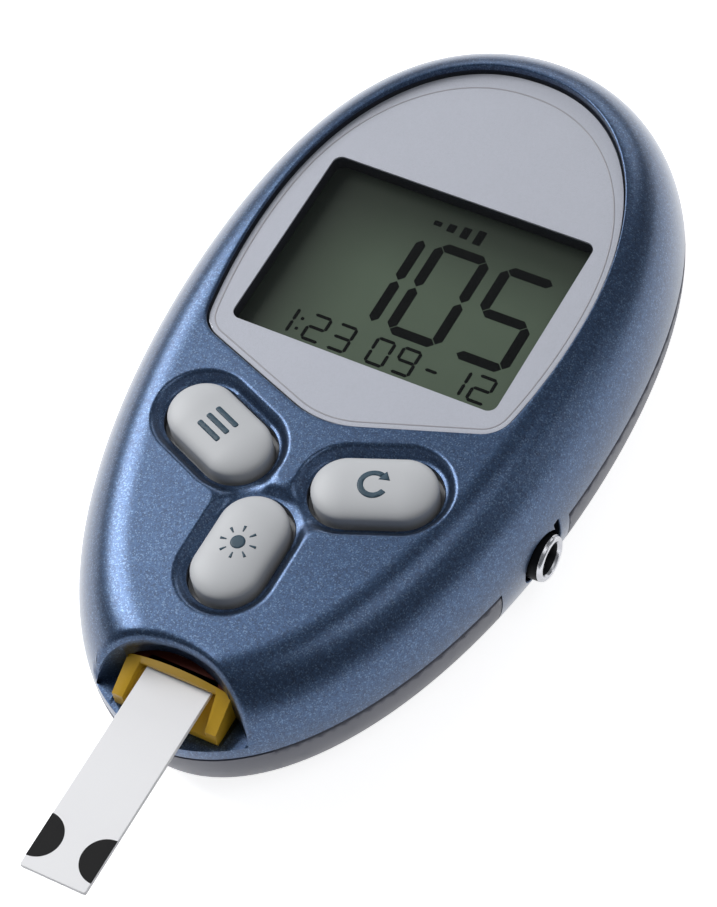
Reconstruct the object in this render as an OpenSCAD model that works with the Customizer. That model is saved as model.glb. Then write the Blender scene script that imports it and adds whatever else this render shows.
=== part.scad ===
// Pocket glucose meter: an egg-shaped case in two halves, a display behind a clear lens,
// three sprung buttons, a strip port with its strip, a data jack and a coin cell.
// X runs to the right of the upright display, Y towards the head and Z up from the surface
// that the meter lies on. The origin is in the middle of the base.

/* [Case] */
// Length of the case, foot to head
body_l = 74; // [72:0.5:80]
// Width of the case at its widest
body_w = 41; // [40:0.5:46]
// Widening of the outline towards the head
egg_taper = 0.100; // [0.05:0.01:0.15]
// Fullness of the outline at both ends
egg_full = 0.110; // [0.05:0.01:0.15]
// Extra bluntness of the head
egg_blunt = 0.061; // [0:0.01:0.1]
// Height of the seam between the two halves
seam_z = 7.45; // [7.3:0.05:7.6]
// Gap that shows at the seam
seam_gap = 0.3; // [0.15:0.05:0.4]
// Height of the shoulder's top edge in the middle of the case
shoulder_z = 15.42; // [15.3:0.02:15.6]
// Rise of the top towards the head, per millimetre
top_rise = 0.020; // [0.01:0.002:0.024]
// How far the shoulder's top edge lies inside the outline
shoulder_in = 5.3; // [5.0:0.05:5.5]
// Roundness of the shoulder, where 2 is an ellipse
shoulder_power = 2.0; // [1.9:0.02:2.1]
// Rise of the middle of the top above the shoulder's top edge
crown = 0.1; // [0:0.02:0.15]
// How far the flat base lies inside the outline
base_in = 5; // [4.4:0.1:5.4]
// Roundness of the lower edge, where 2 is an ellipse
base_power = 2.05; // [1.9:0.05:2.6]
// Wall of both halves at the sides
wall = 1.4; // [1.2:0.1:1.6]
// Floor of the lower half
base_wall = 1.35; // [1.3:0.05:1.6]
// Height that the lower half's lip stands above the seam
lip_h = 0.85; // [0.6:0.05:0.9]
// Clearance between pieces that are put together and stay put
fit_gap = 0.12; // [0.08:0.01:0.15]

/* [Lens] */
// From the widest part of the lens pocket to the widest part of the case, at each side
lens_side = 4.95; // [4.7:0.05:5.2]
// Where the lens pocket is widest
lens_mid_y = 9; // [8:0.5:10]
// Top of the lens pocket at the head
lens_head_y = 32.1; // [31.4:0.1:32.4]
// Squareness of the head end of the pocket, where 2 is an ellipse
lens_power = 2.18; // [2:0.02:2.3]
// Radius of the long sides below the widest point
lens_side_r = 54; // [45:1:80]
// Height of the two lower corners before they are rounded
lens_corner_y = -2.85; // [-3.4:0.05:-2.4]
// Lowest point of the pocket
lens_point_y = -7.4; // [-7.8:0.1:-7]
// Radius of the lower corners
lens_corner_r = 3; // [2:0.1:4]
// Radius of the pocket's lowest point
lens_point_r = 9; // [6:0.5:12]
// Half the turn of the pocket's outline round its lowest point
lens_point_turn = 21; // [18:1:24]
// Thickness of the lens
lens_t = 0.5; // [0.4:0.05:0.6]
// Thickness of the mask film behind the lens
mask_t = 0.2; // [0.15:0.05:0.3]
// Thickness of the adhesive sheet below the mask
glue_t = 0.2; // [0.15:0.05:0.3]
// Height of the mask's top face
mask_z = 14.96; // [14.9:0.02:15]
// Width of the clear band between the lens edge and the mask
mask_in = 0.6; // [0.4:0.05:0.8]

/* [Display] */
// From the window in the mask to the widest part of the case, at each side
window_side = 7.85; // [7.7:0.05:8.5]
// Height of the window in the mask
window_h = 18.9; // [17.5:0.1:19]
// Middle of the window along the case
window_y = 8.47; // [8:0.1:9]
// Radius of the window's corners
window_r = 0.85; // [0.5:0.05:1.5]
// Height of the underside of the case roof
roof_z = 13.3; // [13.2:0.02:13.4]
// Cover of each glass past the window
glass_over = 0.65; // [0.4:0.05:0.8]
// Thickness of each display glass
glass_t = 0.7; // [0.55:0.05:0.7]
// Thickness of each polariser
polar_t = 0.2; // [0.15:0.01:0.2]
// Thickness of the backlight panel
light_t = 1.1; // [0.8:0.05:1.1]
// Length of the contact ledge of the front glass, past the rear glass
ledge = 2.4; // [2:0.1:2.6]
// Wall of the display frame
frame_wall = 0.8; // [0.6:0.05:0.9]
// Floor of the display frame
frame_floor = 0.5; // [0.4:0.05:0.6]
// Width of the ledge in the display frame that the rear glass and the panel lie on
frame_ledge = 1; // [0.6:0.1:1.2]
// Width of the elastomer connector
elastomer_w = 1.5; // [1.2:0.1:1.6]
// Room for the lamp between the backlight panel and the frame
lamp_room = 1.6; // [1.4:0.1:1.8]
// Width of the lamp
lamp_w = 3.2; // [2:0.2:4]
// Height of the lamp
lamp_h = 0.8; // [0.6:0.05:0.8]

/* [Buttons] */
// Half spacing of the two side buttons
side_x = 7.38; // [7.2:0.02:7.6]
// Where the two side buttons lie along the case
side_y = -11.7; // [-12:0.1:-11.5]
// Length of each side button
side_l = 10.6; // [10.2:0.1:11.2]
// Width of each side button
side_w = 6.0; // [5.6:0.1:6.1]
// Tilt of the side buttons
side_tilt = 22; // [20:1:24]
// Where the light button lies along the case
light_y = -21.15; // [-21.4:0.05:-21]
// Length of the light button
light_l = 10.3; // [9.8:0.1:10.4]
// Width of the light button
light_w = 6.0; // [5.6:0.1:6.2]
// Height of the top of each button
key_top_z = 16.05; // [15.9:0.05:16.1]
// Height of the edge of each button's dome
key_edge_z = 15.1; // [14.9:0.05:15.2]
// Clearance round each button in the case
key_gap = 0.4; // [0.3:0.05:0.5]
// Width of the flange that keeps each button in the case
key_flange = 0.5; // [0.4:0.05:0.55]
// Thickness of that flange
key_flange_t = 0.7; // [0.5:0.05:0.75]
// Travel of each button
key_travel = 0.6; // [0.4:0.05:0.6]
// Height of the floor of the pool round the buttons
pool_z = 14.4; // [14.3:0.05:14.6]
// Width of the pool's floor round each button
pool_w = 0.3; // [0.2:0.05:0.4]
// Spread of the pool's sloping side
pool_slope = 0.8; // [0.6:0.05:1]
// Radius of the round pill below each button
pill_r = 1.15; // [1:0.05:1.3]
// Thickness of the rubber keypad mat
mat_t = 0.8; // [0.7:0.05:0.9]
// Thickness of each rubber web
web_t = 0.3; // [0.2:0.05:0.35]
// Width of the rounding at the edge of each button's dome
dome_round_w = 0.45; // [0.3:0.05:0.6]
// Height of that rounding
dome_round_h = 0.5; // [0.3:0.05:0.6]
// How far the top of the dome lies inside the button's edge
dome_top_in = 1.4; // [1:0.1:1.8]
// Height of the stem between each button and its pill
stem_h = 0.8; // [0.6:0.05:0.9]
// How far each stem is wider than its pill, on the radius
stem_over = 0.3; // [0.2:0.05:0.4]
// Width of the ring of air round each pill in the mat
pill_room = 1.1; // [0.9:0.05:1.3]
// How far each pill stands above its web
pill_head = 0.3; // [0.2:0.05:0.35]
// Clearance that is left below a pill when its button is pressed
pill_over = 0.1; // [0.05:0.01:0.15]
// Flat land of each web round its pill
web_land = 0.3; // [0.2:0.05:0.35]
// Width of the mat between the light button's web and the strip connector
mat_rim = 0.45; // [0.4:0.05:0.6]
// How far the mat reaches past the middle of each side button
mat_side = 5; // [4:0.5:6]
// Radius of the mat's corners
mat_corner_r = 1.5; // [0.5:0.5:2]

/* [Board] */
// Thickness of the circuit board
board_t = 1.0; // [0.8:0.1:1.1]
// Clearance between the board and the case wall
board_gap = 0.35; // [0.25:0.05:0.5]
// Where the board ends towards the foot
board_foot_y = -30.2; // [-30.4:0.1:-30]
// Thickness of the printed contact pads
pad_t = 0.05; // [0.03:0.01:0.06]
// Width of each contact pad
pad_w = 0.9; // [0.6:0.1:1]
// Length of each contact pad
pad_l = 1.8; // [1.4:0.1:2]
// Spacing of the two pads below each button
pad_step = 1.3; // [1.2:0.1:1.6]

/* [Parts on the board] */
// Size of the processor: width, length and height
processor_size = [7, 7, 1.1]; // [0.5:0.1:9]
// Where the processor lies
processor_at = [-1.5, 1.5]; // [-15:0.1:15]
// Size of the analogue chip
analogue_size = [4.4, 3.9, 0.9]; // [0.5:0.1:6]
// Where the analogue chip lies
analogue_at = [-1, -17]; // [-18:0.1:15]
// Size of the quartz crystal
crystal_size = [1.5, 3.2, 0.8]; // [0.5:0.1:4]
// Where the quartz crystal lies
crystal_at = [4.6, 2.5]; // [-15:0.1:15]
// Size of each capacitor
capacitor_size = [1, 1.8, 0.8]; // [0.4:0.1:2]
// Where the middle capacitor lies
capacitor_at = [-0.6, -9]; // [-15:0.1:15]
// Spacing of the capacitors
capacitor_step = 2.2; // [2:0.1:2.6]
// Size of each resistor
resistor_size = [0.8, 1.6, 0.45]; // [0.3:0.05:2]
// Where the row of resistors lies
resistor_at = [-0.25, -12.5]; // [-15:0.05:15]
// Spacing of the resistors
resistor_step = 1.9; // [1.5:0.1:2.2]
// Size of the thermistor
thermistor_size = [0.8, 1.6, 0.6]; // [0.3:0.1:2]
// Where the thermistor lies
thermistor_at = [4, -24]; // [-25:0.1:15]
// Diameter of the buzzer
buzzer_d = 9; // [7:0.5:9.5]
// Height of the buzzer
buzzer_h = 2.4; // [1.8:0.1:3]
// Diameter of the hole that the buzzer sounds through
buzzer_hole_d = 1.6; // [1:0.1:2]
// How far the buzzer's middle lies inside the case outline
buzzer_in = 8.3; // [7.8:0.1:9]
// Where the buzzer lies along the case
buzzer_y = -6; // [-8:0.5:-5]

/* [Strip] */
// Width of the test strip
strip_w = 6.1; // [5.6:0.1:6.2]
// Thickness of the test strip
strip_t = 0.4; // [0.3:0.05:0.4]
// Length of the test strip
strip_l = 31; // [28:0.5:34]
// Height of the middle of the strip
strip_z = 11.0; // [10.95:0.05:11.05]
// How far the strip goes in past the guide's lip
strip_depth = 11; // [9:0.5:11]
// Running clearance round the strip
strip_gap = 0.1; // [0.06:0.01:0.12]
// Where the guide's upper lip lies along the case
guide_lip_y = -32; // [-32.3:0.1:-31.8]
// Where the guide ends towards the foot
guide_end_y = -35.1; // [-35.4:0.1:-34.8]
// Width of the guide
guide_w = 9.8; // [9.4:0.1:10]
// Width of the guide's mouth
guide_mouth_w = 8.0; // [7.6:0.1:8.2]
// Height of the guide's underside
guide_low_z = 8.7; // [8.6:0.05:8.8]
// Height of the guide's top
guide_top_z = 12.9; // [12.7:0.05:13]
// Length of the straight slot behind the funnel
funnel_end = 0.8; // [0.6:0.1:1]
// Height of the funnel's mouth above the slot's floor
funnel_h = 0.8; // [0.7:0.05:0.9]
// Turn-in of each side of the mouth, from its front to the lip
mouth_turn = 0.4; // [0:0.05:0.5]
// How far the lip's edge lies in front of the lip
lip_front = 0.3; // [0.2:0.05:0.5]
// How far the upper lip of the guide slopes back
lip_slope = 1.1; // [0.8:0.05:1.2]
// Height of the lip's edge above the slot
lip_edge_h = 0.6; // [0.5:0.05:0.8]
// Height of the guide's side walls at the front
side_front_z = 10.2; // [10:0.05:10.5]
// Height of the guide's floor at the front
floor_front_z = 9.5; // [9.3:0.05:9.6]
// Half width of the scoop in the case at the foot
scoop_w = 7.2; // [6.8:0.1:7.4]
// Where the back of the scoop lies along the case
scoop_y = -30.9; // [-31.1:0.05:-30.8]
// Radius of the arched back of the scoop
scoop_r = 10; // [9:0.5:12]
// Wall of the case round the scoop
scoop_wall = 1; // [0.8:0.1:1.2]
// Roof thickness of the strip connector above its slot
connector_roof = 0.45; // [0.35:0.05:0.5]
// Width of the strip connector
connector_w = 10.2; // [9.4:0.1:11]
// Width of each strip contact
contact_w = 0.6; // [0.4:0.05:0.7]
// Spacing of the strip contacts
contact_step = 1.9; // [1.6:0.1:2]
// Thickness of the strip contacts
contact_t = 0.15; // [0.1:0.01:0.18]
// How far the strip contacts start inside the connector's mouth
contact_in = 1.2; // [1:0.1:1.6]
// How far the strip contacts end before the strip's end
contact_end = 1.4; // [1.2:0.1:1.8]
// How far the connector runs on past the strip's end
connector_end = 0.6; // [0.4:0.05:0.7]

/* [Data jack] */
// Where the jack lies along the case
jack_y = -7; // [-7.4:0.1:-6.8]
// Height of the jack's axis
jack_z = 6.2; // [6.15:0.05:6.3]
// Radius of the jack's bore
jack_bore_r = 1.3; // [1.25:0.01:1.35]
// Radius of the jack's metal ring
jack_ring_r = 2.1; // [2:0.02:2.15]
// Length of the metal ring
jack_ring_l = 3.8; // [3.4:0.1:4.2]
// How far the ring's face stands past the case
jack_proud = 0.15; // [0:0.05:0.3]
// Radius of the hole for the ring in the case
jack_hole_r = 2.45; // [2.35:0.05:2.5]
// Length of the jack's moulded body
jack_body_l = 8.6; // [8:0.1:9]
// Width of the jack's moulded body
jack_body_w = 6; // [5.4:0.1:6.4]
// Height of the jack's moulded body
jack_body_h = 4.4; // [4.3:0.05:4.6]
// Length along the case of the upper half's skirt round the jack
skirt_l = 9.3; // [8.5:0.1:10]
// How far the skirt's middle lies from the jack, towards the foot
skirt_off = 0.85; // [0.5:0.05:1.2]
// Height of the lower edge of that skirt
skirt_low_z = 2.8; // [2.6:0.1:3.2]
// Thickness of that skirt
skirt_t = 2.6; // [2:0.1:2.8]
// Width of the tool slit beside the jack's hole
slit_l = 1; // [0.6:0.1:1.2]
// Height of that slit
slit_h = 0.6; // [0.4:0.05:0.7]
// Height of the contact springs above the bore
spring_up = 0.3; // [0.25:0.05:0.35]
// Length of each contact spring
spring_l = 2.2; // [1.8:0.1:2.4]
// Width of each contact spring
spring_w = 1; // [0.8:0.1:1.4]
// Where the inner contact spring starts, from the end of the jack's body
spring_in = 1.6; // [1.4:0.1:1.8]
// Spacing of the contact springs
spring_step = 3; // [2.8:0.1:3.2]

/* [Coin cell] */
// Diameter of the coin cell
cell_d = 20; // [19.5:0.1:20]
// Height of the coin cell
cell_h = 3.2; // [2.5:0.1:3.2]
// Middle of the coin cell along the case
cell_y = 20; // [19.5:0.1:20.5]
// Clearance round the coin cell in its bay
cell_gap = 0.25; // [0.15:0.05:0.3]
// Wall of the bay
bay_wall = 1.1; // [0.9:0.1:1.2]
// Ceiling of the bay
bay_roof = 0.8; // [0.6:0.1:0.9]
// Room for the spring contact above the cell
spring_room = 0.5; // [0.4:0.05:0.55]
// Thickness of the battery contacts
leaf_t = 0.2; // [0.15:0.01:0.22]
// Width of the battery contacts
leaf_w = 3; // [2.4:0.1:3.4]
// Where the negative contact comes down, from the cell's middle towards the head
leaf_back = 6; // [5:0.5:7]
// How far the negative contact reaches past the cell's middle
leaf_reach = 3; // [2:0.5:4]
// Thickness of the cell's steel skin
cell_skin = 0.3; // [0.2:0.05:0.35]
// Width of the cell's seal
cell_seal = 0.8; // [0.6:0.05:1]
// Height of the positive contact's lower end above the cell's lower face
leaf_up = 0.4; // [0.3:0.05:0.6]
// Length of the hole in the bay's ceiling for the negative contact
leaf_hole_l = 3; // [2:0.2:3.4]

/* [Battery door] */
// Width of the door
door_w = 22; // [21:0.1:22.4]
// Where the door starts along the case
door_y = 8.5; // [8:0.1:8.6]
// Thickness of the door
door_t = 1.1; // [0.9:0.05:1.15]
// How far the door lies above the surface that the meter rests on
door_lift = 0.15; // [0.1:0.01:0.2]
// Height of the door's end wall at the head
door_end_z = 3.6; // [3.2:0.1:4]
// Running clearance round the door
door_gap = 0.1; // [0.08:0.01:0.12]
// Width of each of the door's side tongues
tongue_w = 0.85; // [0.6:0.05:0.9]
// Thickness of each tongue
tongue_t = 0.45; // [0.35:0.05:0.5]
// Length of each tongue
tongue_l = 18; // [14:1:18]
// Wall of the case behind the door's end wall
inner_wall = 0.8; // [0.6:0.05:1]
// Shelf that lies over the door, past the tongues
shelf_side = 1.5; // [1.2:0.1:1.8]
// Number of grip grooves in the door
groove_count = 5; // [3:1:5]
// Spacing of the grip grooves
groove_step = 1.6; // [1.4:0.1:1.8]
// Width of each grip groove
groove_w = 0.7; // [0.5:0.05:0.8]
// Depth of each grip groove
groove_depth = 0.3; // [0.2:0.05:0.4]
// Length of each grip groove across the door
groove_l = 10; // [8:0.5:12]
// Where the first groove starts, from the door's edge
groove_start = 3; // [2:0.5:4]

/* [Fasteners] */
// How far the head screws lie inside the case outline
head_screw_in = 4; // [3.9:0.05:4.1]
// Where the head screws lie along the case
head_screw_y = 13.5; // [12:0.5:15]
// How far the foot screws lie inside the case outline
foot_screw_in = 5.76; // [5.5:0.02:6]
// Where the foot screws lie along the case
foot_screw_y = -24; // [-24.5:0.1:-23]
// Radius of the screw threads
screw_r = 0.8; // [0.7:0.02:0.85]
// Radius of the screw heads
screw_head_r = 1.4; // [1.25:0.05:1.45]
// Height of the screw heads
screw_head_h = 0.9; // [0.7:0.05:1]
// Length of each screw below its head
screw_l = 9.4; // [8.6:0.1:9.6]
// Depth of the screw seats in the base
screw_seat_z = 2.4; // [2:0.1:2.6]
// Radius of the upper half's screw posts
post_r = 1.6; // [1.5:0.05:1.7]
// Radius of the lower half's screw posts
lower_post_r = 2.15; // [2:0.05:2.2]
// Depth of each pilot hole past the screw's end
pilot_end = 0.5; // [0.3:0.1:0.6]
// Length of the cross in the screw heads
cross_l = 1.8; // [1.4:0.1:2]
// Width of the cross
cross_w = 0.4; // [0.3:0.05:0.5]
// Depth of the cross
cross_depth = 0.4; // [0.3:0.05:0.5]

/* [Label] */
// Width of the blank rating label
label_w = 17; // [14:0.5:18]
// Length of the blank rating label
label_l = 15; // [12:0.5:16]
// Where the label starts, towards the foot from the middle of the base
label_start_y = -3; // [-5:0.5:-2]
// Thickness of the label
label_t = 0.1; // [0.05:0.01:0.12]
// Radius of the label's corners
label_r = 1; // [0.5:0.1:2]

/* [Hidden] */
$fn = 64;
egg_steps = 80;
rim_steps = 8;
cut = 50;          // larger than the case, for cutting blocks
over = 1;          // how far a cut runs past the face that it opens
root = 0.5;        // how far a rib or post runs into the wall that carries it
nib = 0.01;        // overlap where two solids of one piece are joined
running = 0.03;    // radial clearance of a thread in its pilot hole
skin = 0.05;       // gap at a spring contact

egg_peak = max([for (a = [-90:1:90]) cos(a) * egg_gain(sin(a))]);
lens_w = body_w - 2 * lens_side;
window_w = body_w - 2 * window_side;
upper_low_z = seam_z + seam_gap / 2;
lower_top_z = seam_z - seam_gap / 2;
lip_top_z = upper_low_z + lip_h;
board_z = jack_z + jack_body_h / 2;
board_top_z = board_z + board_t;
glue_z = mask_z - mask_t - glue_t;
polar_top_z = roof_z - fit_gap;
glass_z = polar_top_z - polar_t - glass_t;
rear_glass_z = glass_z - glass_t;
rear_polar_z = rear_glass_z - polar_t;
light_z = rear_polar_z - light_t;
glass_w = window_w + 2 * glass_over;
glass_top_y = window_y + window_h / 2 + glass_over;
rear_glass_y = window_y - window_h / 2 - glass_over;
glass_y = rear_glass_y - ledge;
frame_w = glass_w + 2 * (fit_gap + frame_wall);
frame_y = glass_y - fit_gap - frame_wall;
frame_top_y = glass_top_y + fit_gap + frame_wall;
key_flange_z = roof_z - fit_gap - key_flange_t;
pill_top_z = key_flange_z - stem_h;
mat_top_z = board_top_z + mat_t;
web_top_z = pill_top_z - pill_head;
pill_low_z = board_top_z + pad_t + key_travel + pill_over;
web_r = pill_r + pill_room + web_t;
slot_low_z = strip_z - strip_t / 2 - strip_gap;
slot_top_z = strip_z + strip_t / 2 + strip_gap;
strip_in_y = guide_lip_y + strip_depth;
connector_y = strip_in_y + connector_end;
connector_top_z = slot_top_z + connector_roof;
light_pill_y = connector_y + mat_rim + web_r;
mat_foot_y = connector_y + fit_gap;
guide_back_y = board_foot_y - fit_gap;
cell_z = door_lift + door_t + door_gap;
cell_top_z = cell_z + cell_h;
bay_r = cell_d / 2 + cell_gap;
bay_roof_z = cell_top_z + spring_room;
shelf_z = cell_z;
pool_rim_z = shoulder_z + over;
lip_edge_y = guide_lip_y - lip_front;
lip_end_x = scoop_w + scoop_wall + fit_gap;
door_top_z = door_lift + door_t;
jack_face_x = half_width(jack_y) - lower_inset(jack_z) + jack_proud;
jack_ring_x = jack_face_x - jack_ring_l;
jack_body_x = jack_ring_x - jack_body_l;
head_screw_x = half_width(head_screw_y) - head_screw_in;
foot_screw_x = half_width(foot_screw_y) - foot_screw_in;
screw_seats = [
    [head_screw_x, head_screw_y],
    [-head_screw_x, head_screw_y],
    [foot_screw_x, foot_screw_y],
    [-foot_screw_x, foot_screw_y]
];
pill_places = [[-side_x, side_y], [side_x, side_y], [0, light_pill_y]];

// ---- Outline and case surface ----

function egg_gain(s) = 1 + egg_taper * s + egg_full * s * s + egg_blunt * pow(s, 3);

// A point of the case outline at angle a, counted from +X
function egg_point(a) = [
    body_w / 2 * cos(a) * egg_gain(sin(a)) / egg_peak,
    body_l / 2 * sin(a)
];

// The same point moved inwards by d, square to the outline
function egg_inset(a, d) =
    let (t = egg_point(a + 0.5) - egg_point(a - 0.5))
    egg_point(a) + d / norm(t) * [-t[1], t[0]];

// Half the width of the outline at a distance y along the case
function half_width(y) =
    let (s = 2 * y / body_l)
    body_w / 2 * sqrt(1 - s * s) * egg_gain(s) / egg_peak;

// How far a rounded edge has turned in, where f runs from 0 to 1 along its height
function turn_in(f, power) = 1 - pow(1 - pow(min(max(f, 0), 1), power), 1 / power);

function upper_inset(z) =
    shoulder_in * turn_in((z - seam_z) / (shoulder_z - seam_z), shoulder_power);

function lower_inset(z) = base_in * turn_in(1 - z / seam_z, base_power);

function case_inset(z) = z < seam_z ? lower_inset(z) : upper_inset(z);

// One ring of the case at height z, which rises towards the head by rise per millimetre
function ring(inset, z, rise = 0, scale = 1) = [
    for (i = [0:egg_steps - 1])
        let (p = scale * egg_inset(i * 360 / egg_steps, inset))
        [p[0], p[1], z + rise * p[1]]
];

// Rings of the lower edge, from the base up to the seam
function lower_rings() = [
    for (i = [0:rim_steps - 1])
        let (z = seam_z * (1 - pow(sin(90 - 90 * i / rim_steps), 2 / base_power)))
        ring(lower_inset(z), z)
];

// Rings of the shoulder, from the seam up to its top edge
function shoulder_rings() = [
    for (i = [0:rim_steps])
        let (f = pow(sin(90 * i / rim_steps), 2 / shoulder_power))
        let (z = seam_z + (shoulder_z - seam_z) * f)
        ring(upper_inset(z), z, top_rise * f)
];

// Rings of the crown, inside the shoulder's top edge
function crown_rings() = [
    for (scale = [0.72, 0.4])
        ring(shoulder_in, shoulder_z + crown * (1 - scale * scale), top_rise, scale)
];

// A closed skin over a list of rings, from the lowest to the highest
module loft(rings) {
    n = len(rings[0]);
    top = (len(rings) - 1) * n;
    floor_face = [[for (i = [0:n - 1]) i]];
    roof_face = [[for (i = [n - 1:-1:0]) top + i]];
    side_faces = [
        for (a = [0:n:top - n])
            for (i = [0:n - 1])
                let (j = (i + 1) % n)
                each [[a + i, a + n + i, a + n + j], [a + i, a + n + j, a + j]]
    ];
    polyhedron(
        points = [for (r = rings) each r],
        faces = concat(floor_face, side_faces, roof_face)
    );
}

// The outside of the closed case
module whole_case() {
    loft(concat(lower_rings(), shoulder_rings(), crown_rings()));
}

// The case outline moved inwards, from height z0 to z1
module egg_plate(inset, z0, z1) {
    translate([0, 0, z0])
        linear_extrude(z1 - z0)
            polygon([for (i = [0:egg_steps - 1]) egg_inset(i * 360 / egg_steps, inset)]);
}

// The hollow of the case between two heights, a wall and an extra distance inside the outer skin
module hollow(z0, z1, steps = 5, extra = 0) {
    loft([
        for (i = [0:steps])
            let (z = z0 + (z1 - z0) * i / steps)
            ring(case_inset(z) + wall + extra, z)
    ]);
}

// ---- Shared shapes ----

// A block from corner a to corner b
module block(a, b) {
    translate(a)
        cube(b - a);
}

// A long round-ended key shape, l by w, grown by extra, from height z0 to z1
module slot_bar(l, w, z0, z1, extra = 0) {
    r = w / 2 + extra;
    half = (l - w) / 2;
    translate([0, 0, z0]) {
        for (side = [-1, 1])
            translate([side * half, 0, 0])
                cylinder(r = r, h = z1 - z0);
        translate([-half, -r, 0])
            cube([2 * half, 2 * r, z1 - z0]);
    }
}

// A rectangle with rounded corners, centred on x = 0, from y0 to y1
module round_plate(w, y0, y1, z0, z1, r) {
    translate([0, (y0 + y1) / 2, z0])
        linear_extrude(z1 - z0)
            rounded_rect(w, y1 - y0, r);
}

module rounded_rect(w, l, r) {
    square([w - 2 * r, l], center = true);
    square([w, l - 2 * r], center = true);
    for (x = [-1, 1], y = [-1, 1])
        translate([x * (w / 2 - r), y * (l / 2 - r)])
            circle(r);
}

// Outline of the lens pocket: a full head, long sides and a blunt point towards the buttons
module lens_shape(inset = 0) {
    half = lens_w / 2;
    rise = lens_head_y - lens_mid_y;
    corner_x = half - pow(lens_mid_y - lens_corner_y, 2) / (2 * lens_side_r);
    head = [
        for (a = [0:5:180])
            [
                half * sign(cos(a)) * pow(abs(cos(a)), 2 / lens_power),
                lens_mid_y + rise * pow(sin(a), 2 / lens_power)
            ]
    ];
    sides = [
        for (y = [lens_mid_y - 3:-3:lens_corner_y + 1])
            [half - pow(lens_mid_y - y, 2) / (2 * lens_side_r), y]
    ];
    left = [for (p = sides) [-p[0], p[1]]];
    point = [
        for (a = [-lens_point_turn:lens_point_turn / 3:lens_point_turn])
            [lens_point_r * sin(a), lens_point_y + lens_point_r * (1 - cos(a))]
    ];
    foot = concat([[-corner_x, lens_corner_y]], point, [[corner_x, lens_corner_y]]);
    right = [for (i = [len(sides) - 1:-1:0]) sides[i]];
    offset(r = lens_corner_r - inset, $fn = 48)
        offset(delta = -lens_corner_r)
            polygon(concat(head, left, foot, right));
}

module lens_plate(inset, z0, z1) {
    translate([0, 0, z0])
        linear_extrude(z1 - z0)
            lens_shape(inset);
}

module window_cut(extra, z0, z1) {
    round_plate(
        window_w + 2 * extra,
        window_y - window_h / 2 - extra,
        window_y + window_h / 2 + extra,
        z0, z1, window_r
    );
}

// Puts a key shape where the left (-1), right (1) or light (0) button is
module at_key(side) {
    translate([side * side_x, side == 0 ? light_y : side_y, 0])
        rotate(side == 0 ? 90 : side * side_tilt)
            children();
}

module key_bar(side, z0, z1, extra = 0) {
    l = side == 0 ? light_l : side_l;
    w = side == 0 ? light_w : side_w;
    at_key(side)
        slot_bar(l, w, z0, z1, extra);
}

// ---- Case ----

// The block that separates the halves: below the seam, but not in the skirt round the jack
module skirt_block(gap = 0, low = skirt_low_z, high = upper_low_z + nib) {
    reach = shoulder_in;
    block(
        [half_width(jack_y) - reach, skirt_y() - skirt_l / 2 - gap, low - gap],
        [half_width(jack_y) + reach, skirt_y() + skirt_l / 2 + gap, high]
    );
}

function skirt_y() = jack_y - skirt_off;

// Pool round the buttons, with sloping sides
module button_pool() {
    for (side = [-1, 0, 1])
        hull() {
            key_bar(side, pool_z, pool_z + nib, key_gap + pool_w, $fn = 32);
            key_bar(side, pool_rim_z, pool_rim_z + nib, key_gap + pool_w + pool_slope, $fn = 32);
        }
}

// Arched plan of the scoop at the foot, grown by extra
module scoop_plan(extra = 0) {
    intersection() {
        translate([0, scoop_y - scoop_r])
            circle(r = scoop_r + extra, $fn = 96);
        translate([-scoop_w - extra, -cut])
            square([2 * (scoop_w + extra), cut]);
    }
}

// Solid foot of the upper half, which the scoop and the guide's seat are cut from
module scoop_block() {
    difference() {
        intersection() {
            whole_case();
            translate([0, 0, upper_low_z])
                linear_extrude(roof_z + root - upper_low_z)
                    scoop_plan(scoop_wall);
        }
        block([-cut, guide_back_y, 0], [cut, cut, guide_top_z + fit_gap]);
    }
}

// Scoop that the strip guide sits in, and the seat below its hood
module strip_scoop() {
    half = guide_w / 2 + fit_gap;
    block([-half, guide_end_y - fit_gap, guide_low_z - fit_gap],
        [half, guide_back_y + over, guide_top_z + fit_gap]);
    translate([0, 0, guide_low_z])
        linear_extrude(cut)
            scoop_plan();
}

module upper_case() {
    color("#41618f")
        difference() {
            union() {
                difference() {
                    whole_case();
                    difference() {
                        block([-cut, -cut, -over], [cut, cut, upper_low_z]);
                        skirt_block();
                    }
                    hollow(skirt_low_z - over, roof_z, 8);
                    egg_plate(wall / 2, skirt_low_z - over, lip_top_z);
                    lens_plate(0, glue_z, pool_rim_z);
                }
                intersection() {
                    whole_case();
                    skirt_block();
                    block([half_width(jack_y) - skirt_t, -cut, 0], [cut, cut, cut]);
                }
                scoop_block();
                for (p = screw_seats)
                    translate([p[0], p[1], board_top_z])
                        cylinder(r = post_r, h = roof_z - board_top_z + root);
            }
            window_cut(fit_gap, roof_z - over, mask_z);
            for (side = [-1, 0, 1])
                key_bar(side, roof_z - over, pool_rim_z, key_gap);
            button_pool();
            strip_scoop();
            for (p = screw_seats)
                translate([p[0], p[1], board_top_z - over])
                    cylinder(
                        r = screw_r + running,
                        h = screw_seat_z + screw_l + pilot_end - board_top_z + over
                    );
            translate([jack_body_x, jack_y, jack_z])
                rotate([0, 90, 0])
                    cylinder(r = jack_hole_r, h = cut);
            block([jack_ring_x, jack_y + jack_hole_r - slit_h, jack_z],
                [cut, jack_y + jack_hole_r + slit_l, jack_z + slit_h]);
        }
}

module door_block(gap) {
    block([-door_w / 2 - gap, door_y - gap, -over], [door_w / 2 + gap, cut, shelf_z]);
}

// Room for the door's end wall: all that lies outside the hollow, over the door's width
module door_end_room() {
    difference() {
        block([-door_w / 2 - door_gap, door_y, 0], [door_w / 2 + door_gap, cut, door_end_z + door_gap]);
        hollow(0, door_end_z + over, 6, fit_gap);
    }
}

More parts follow.
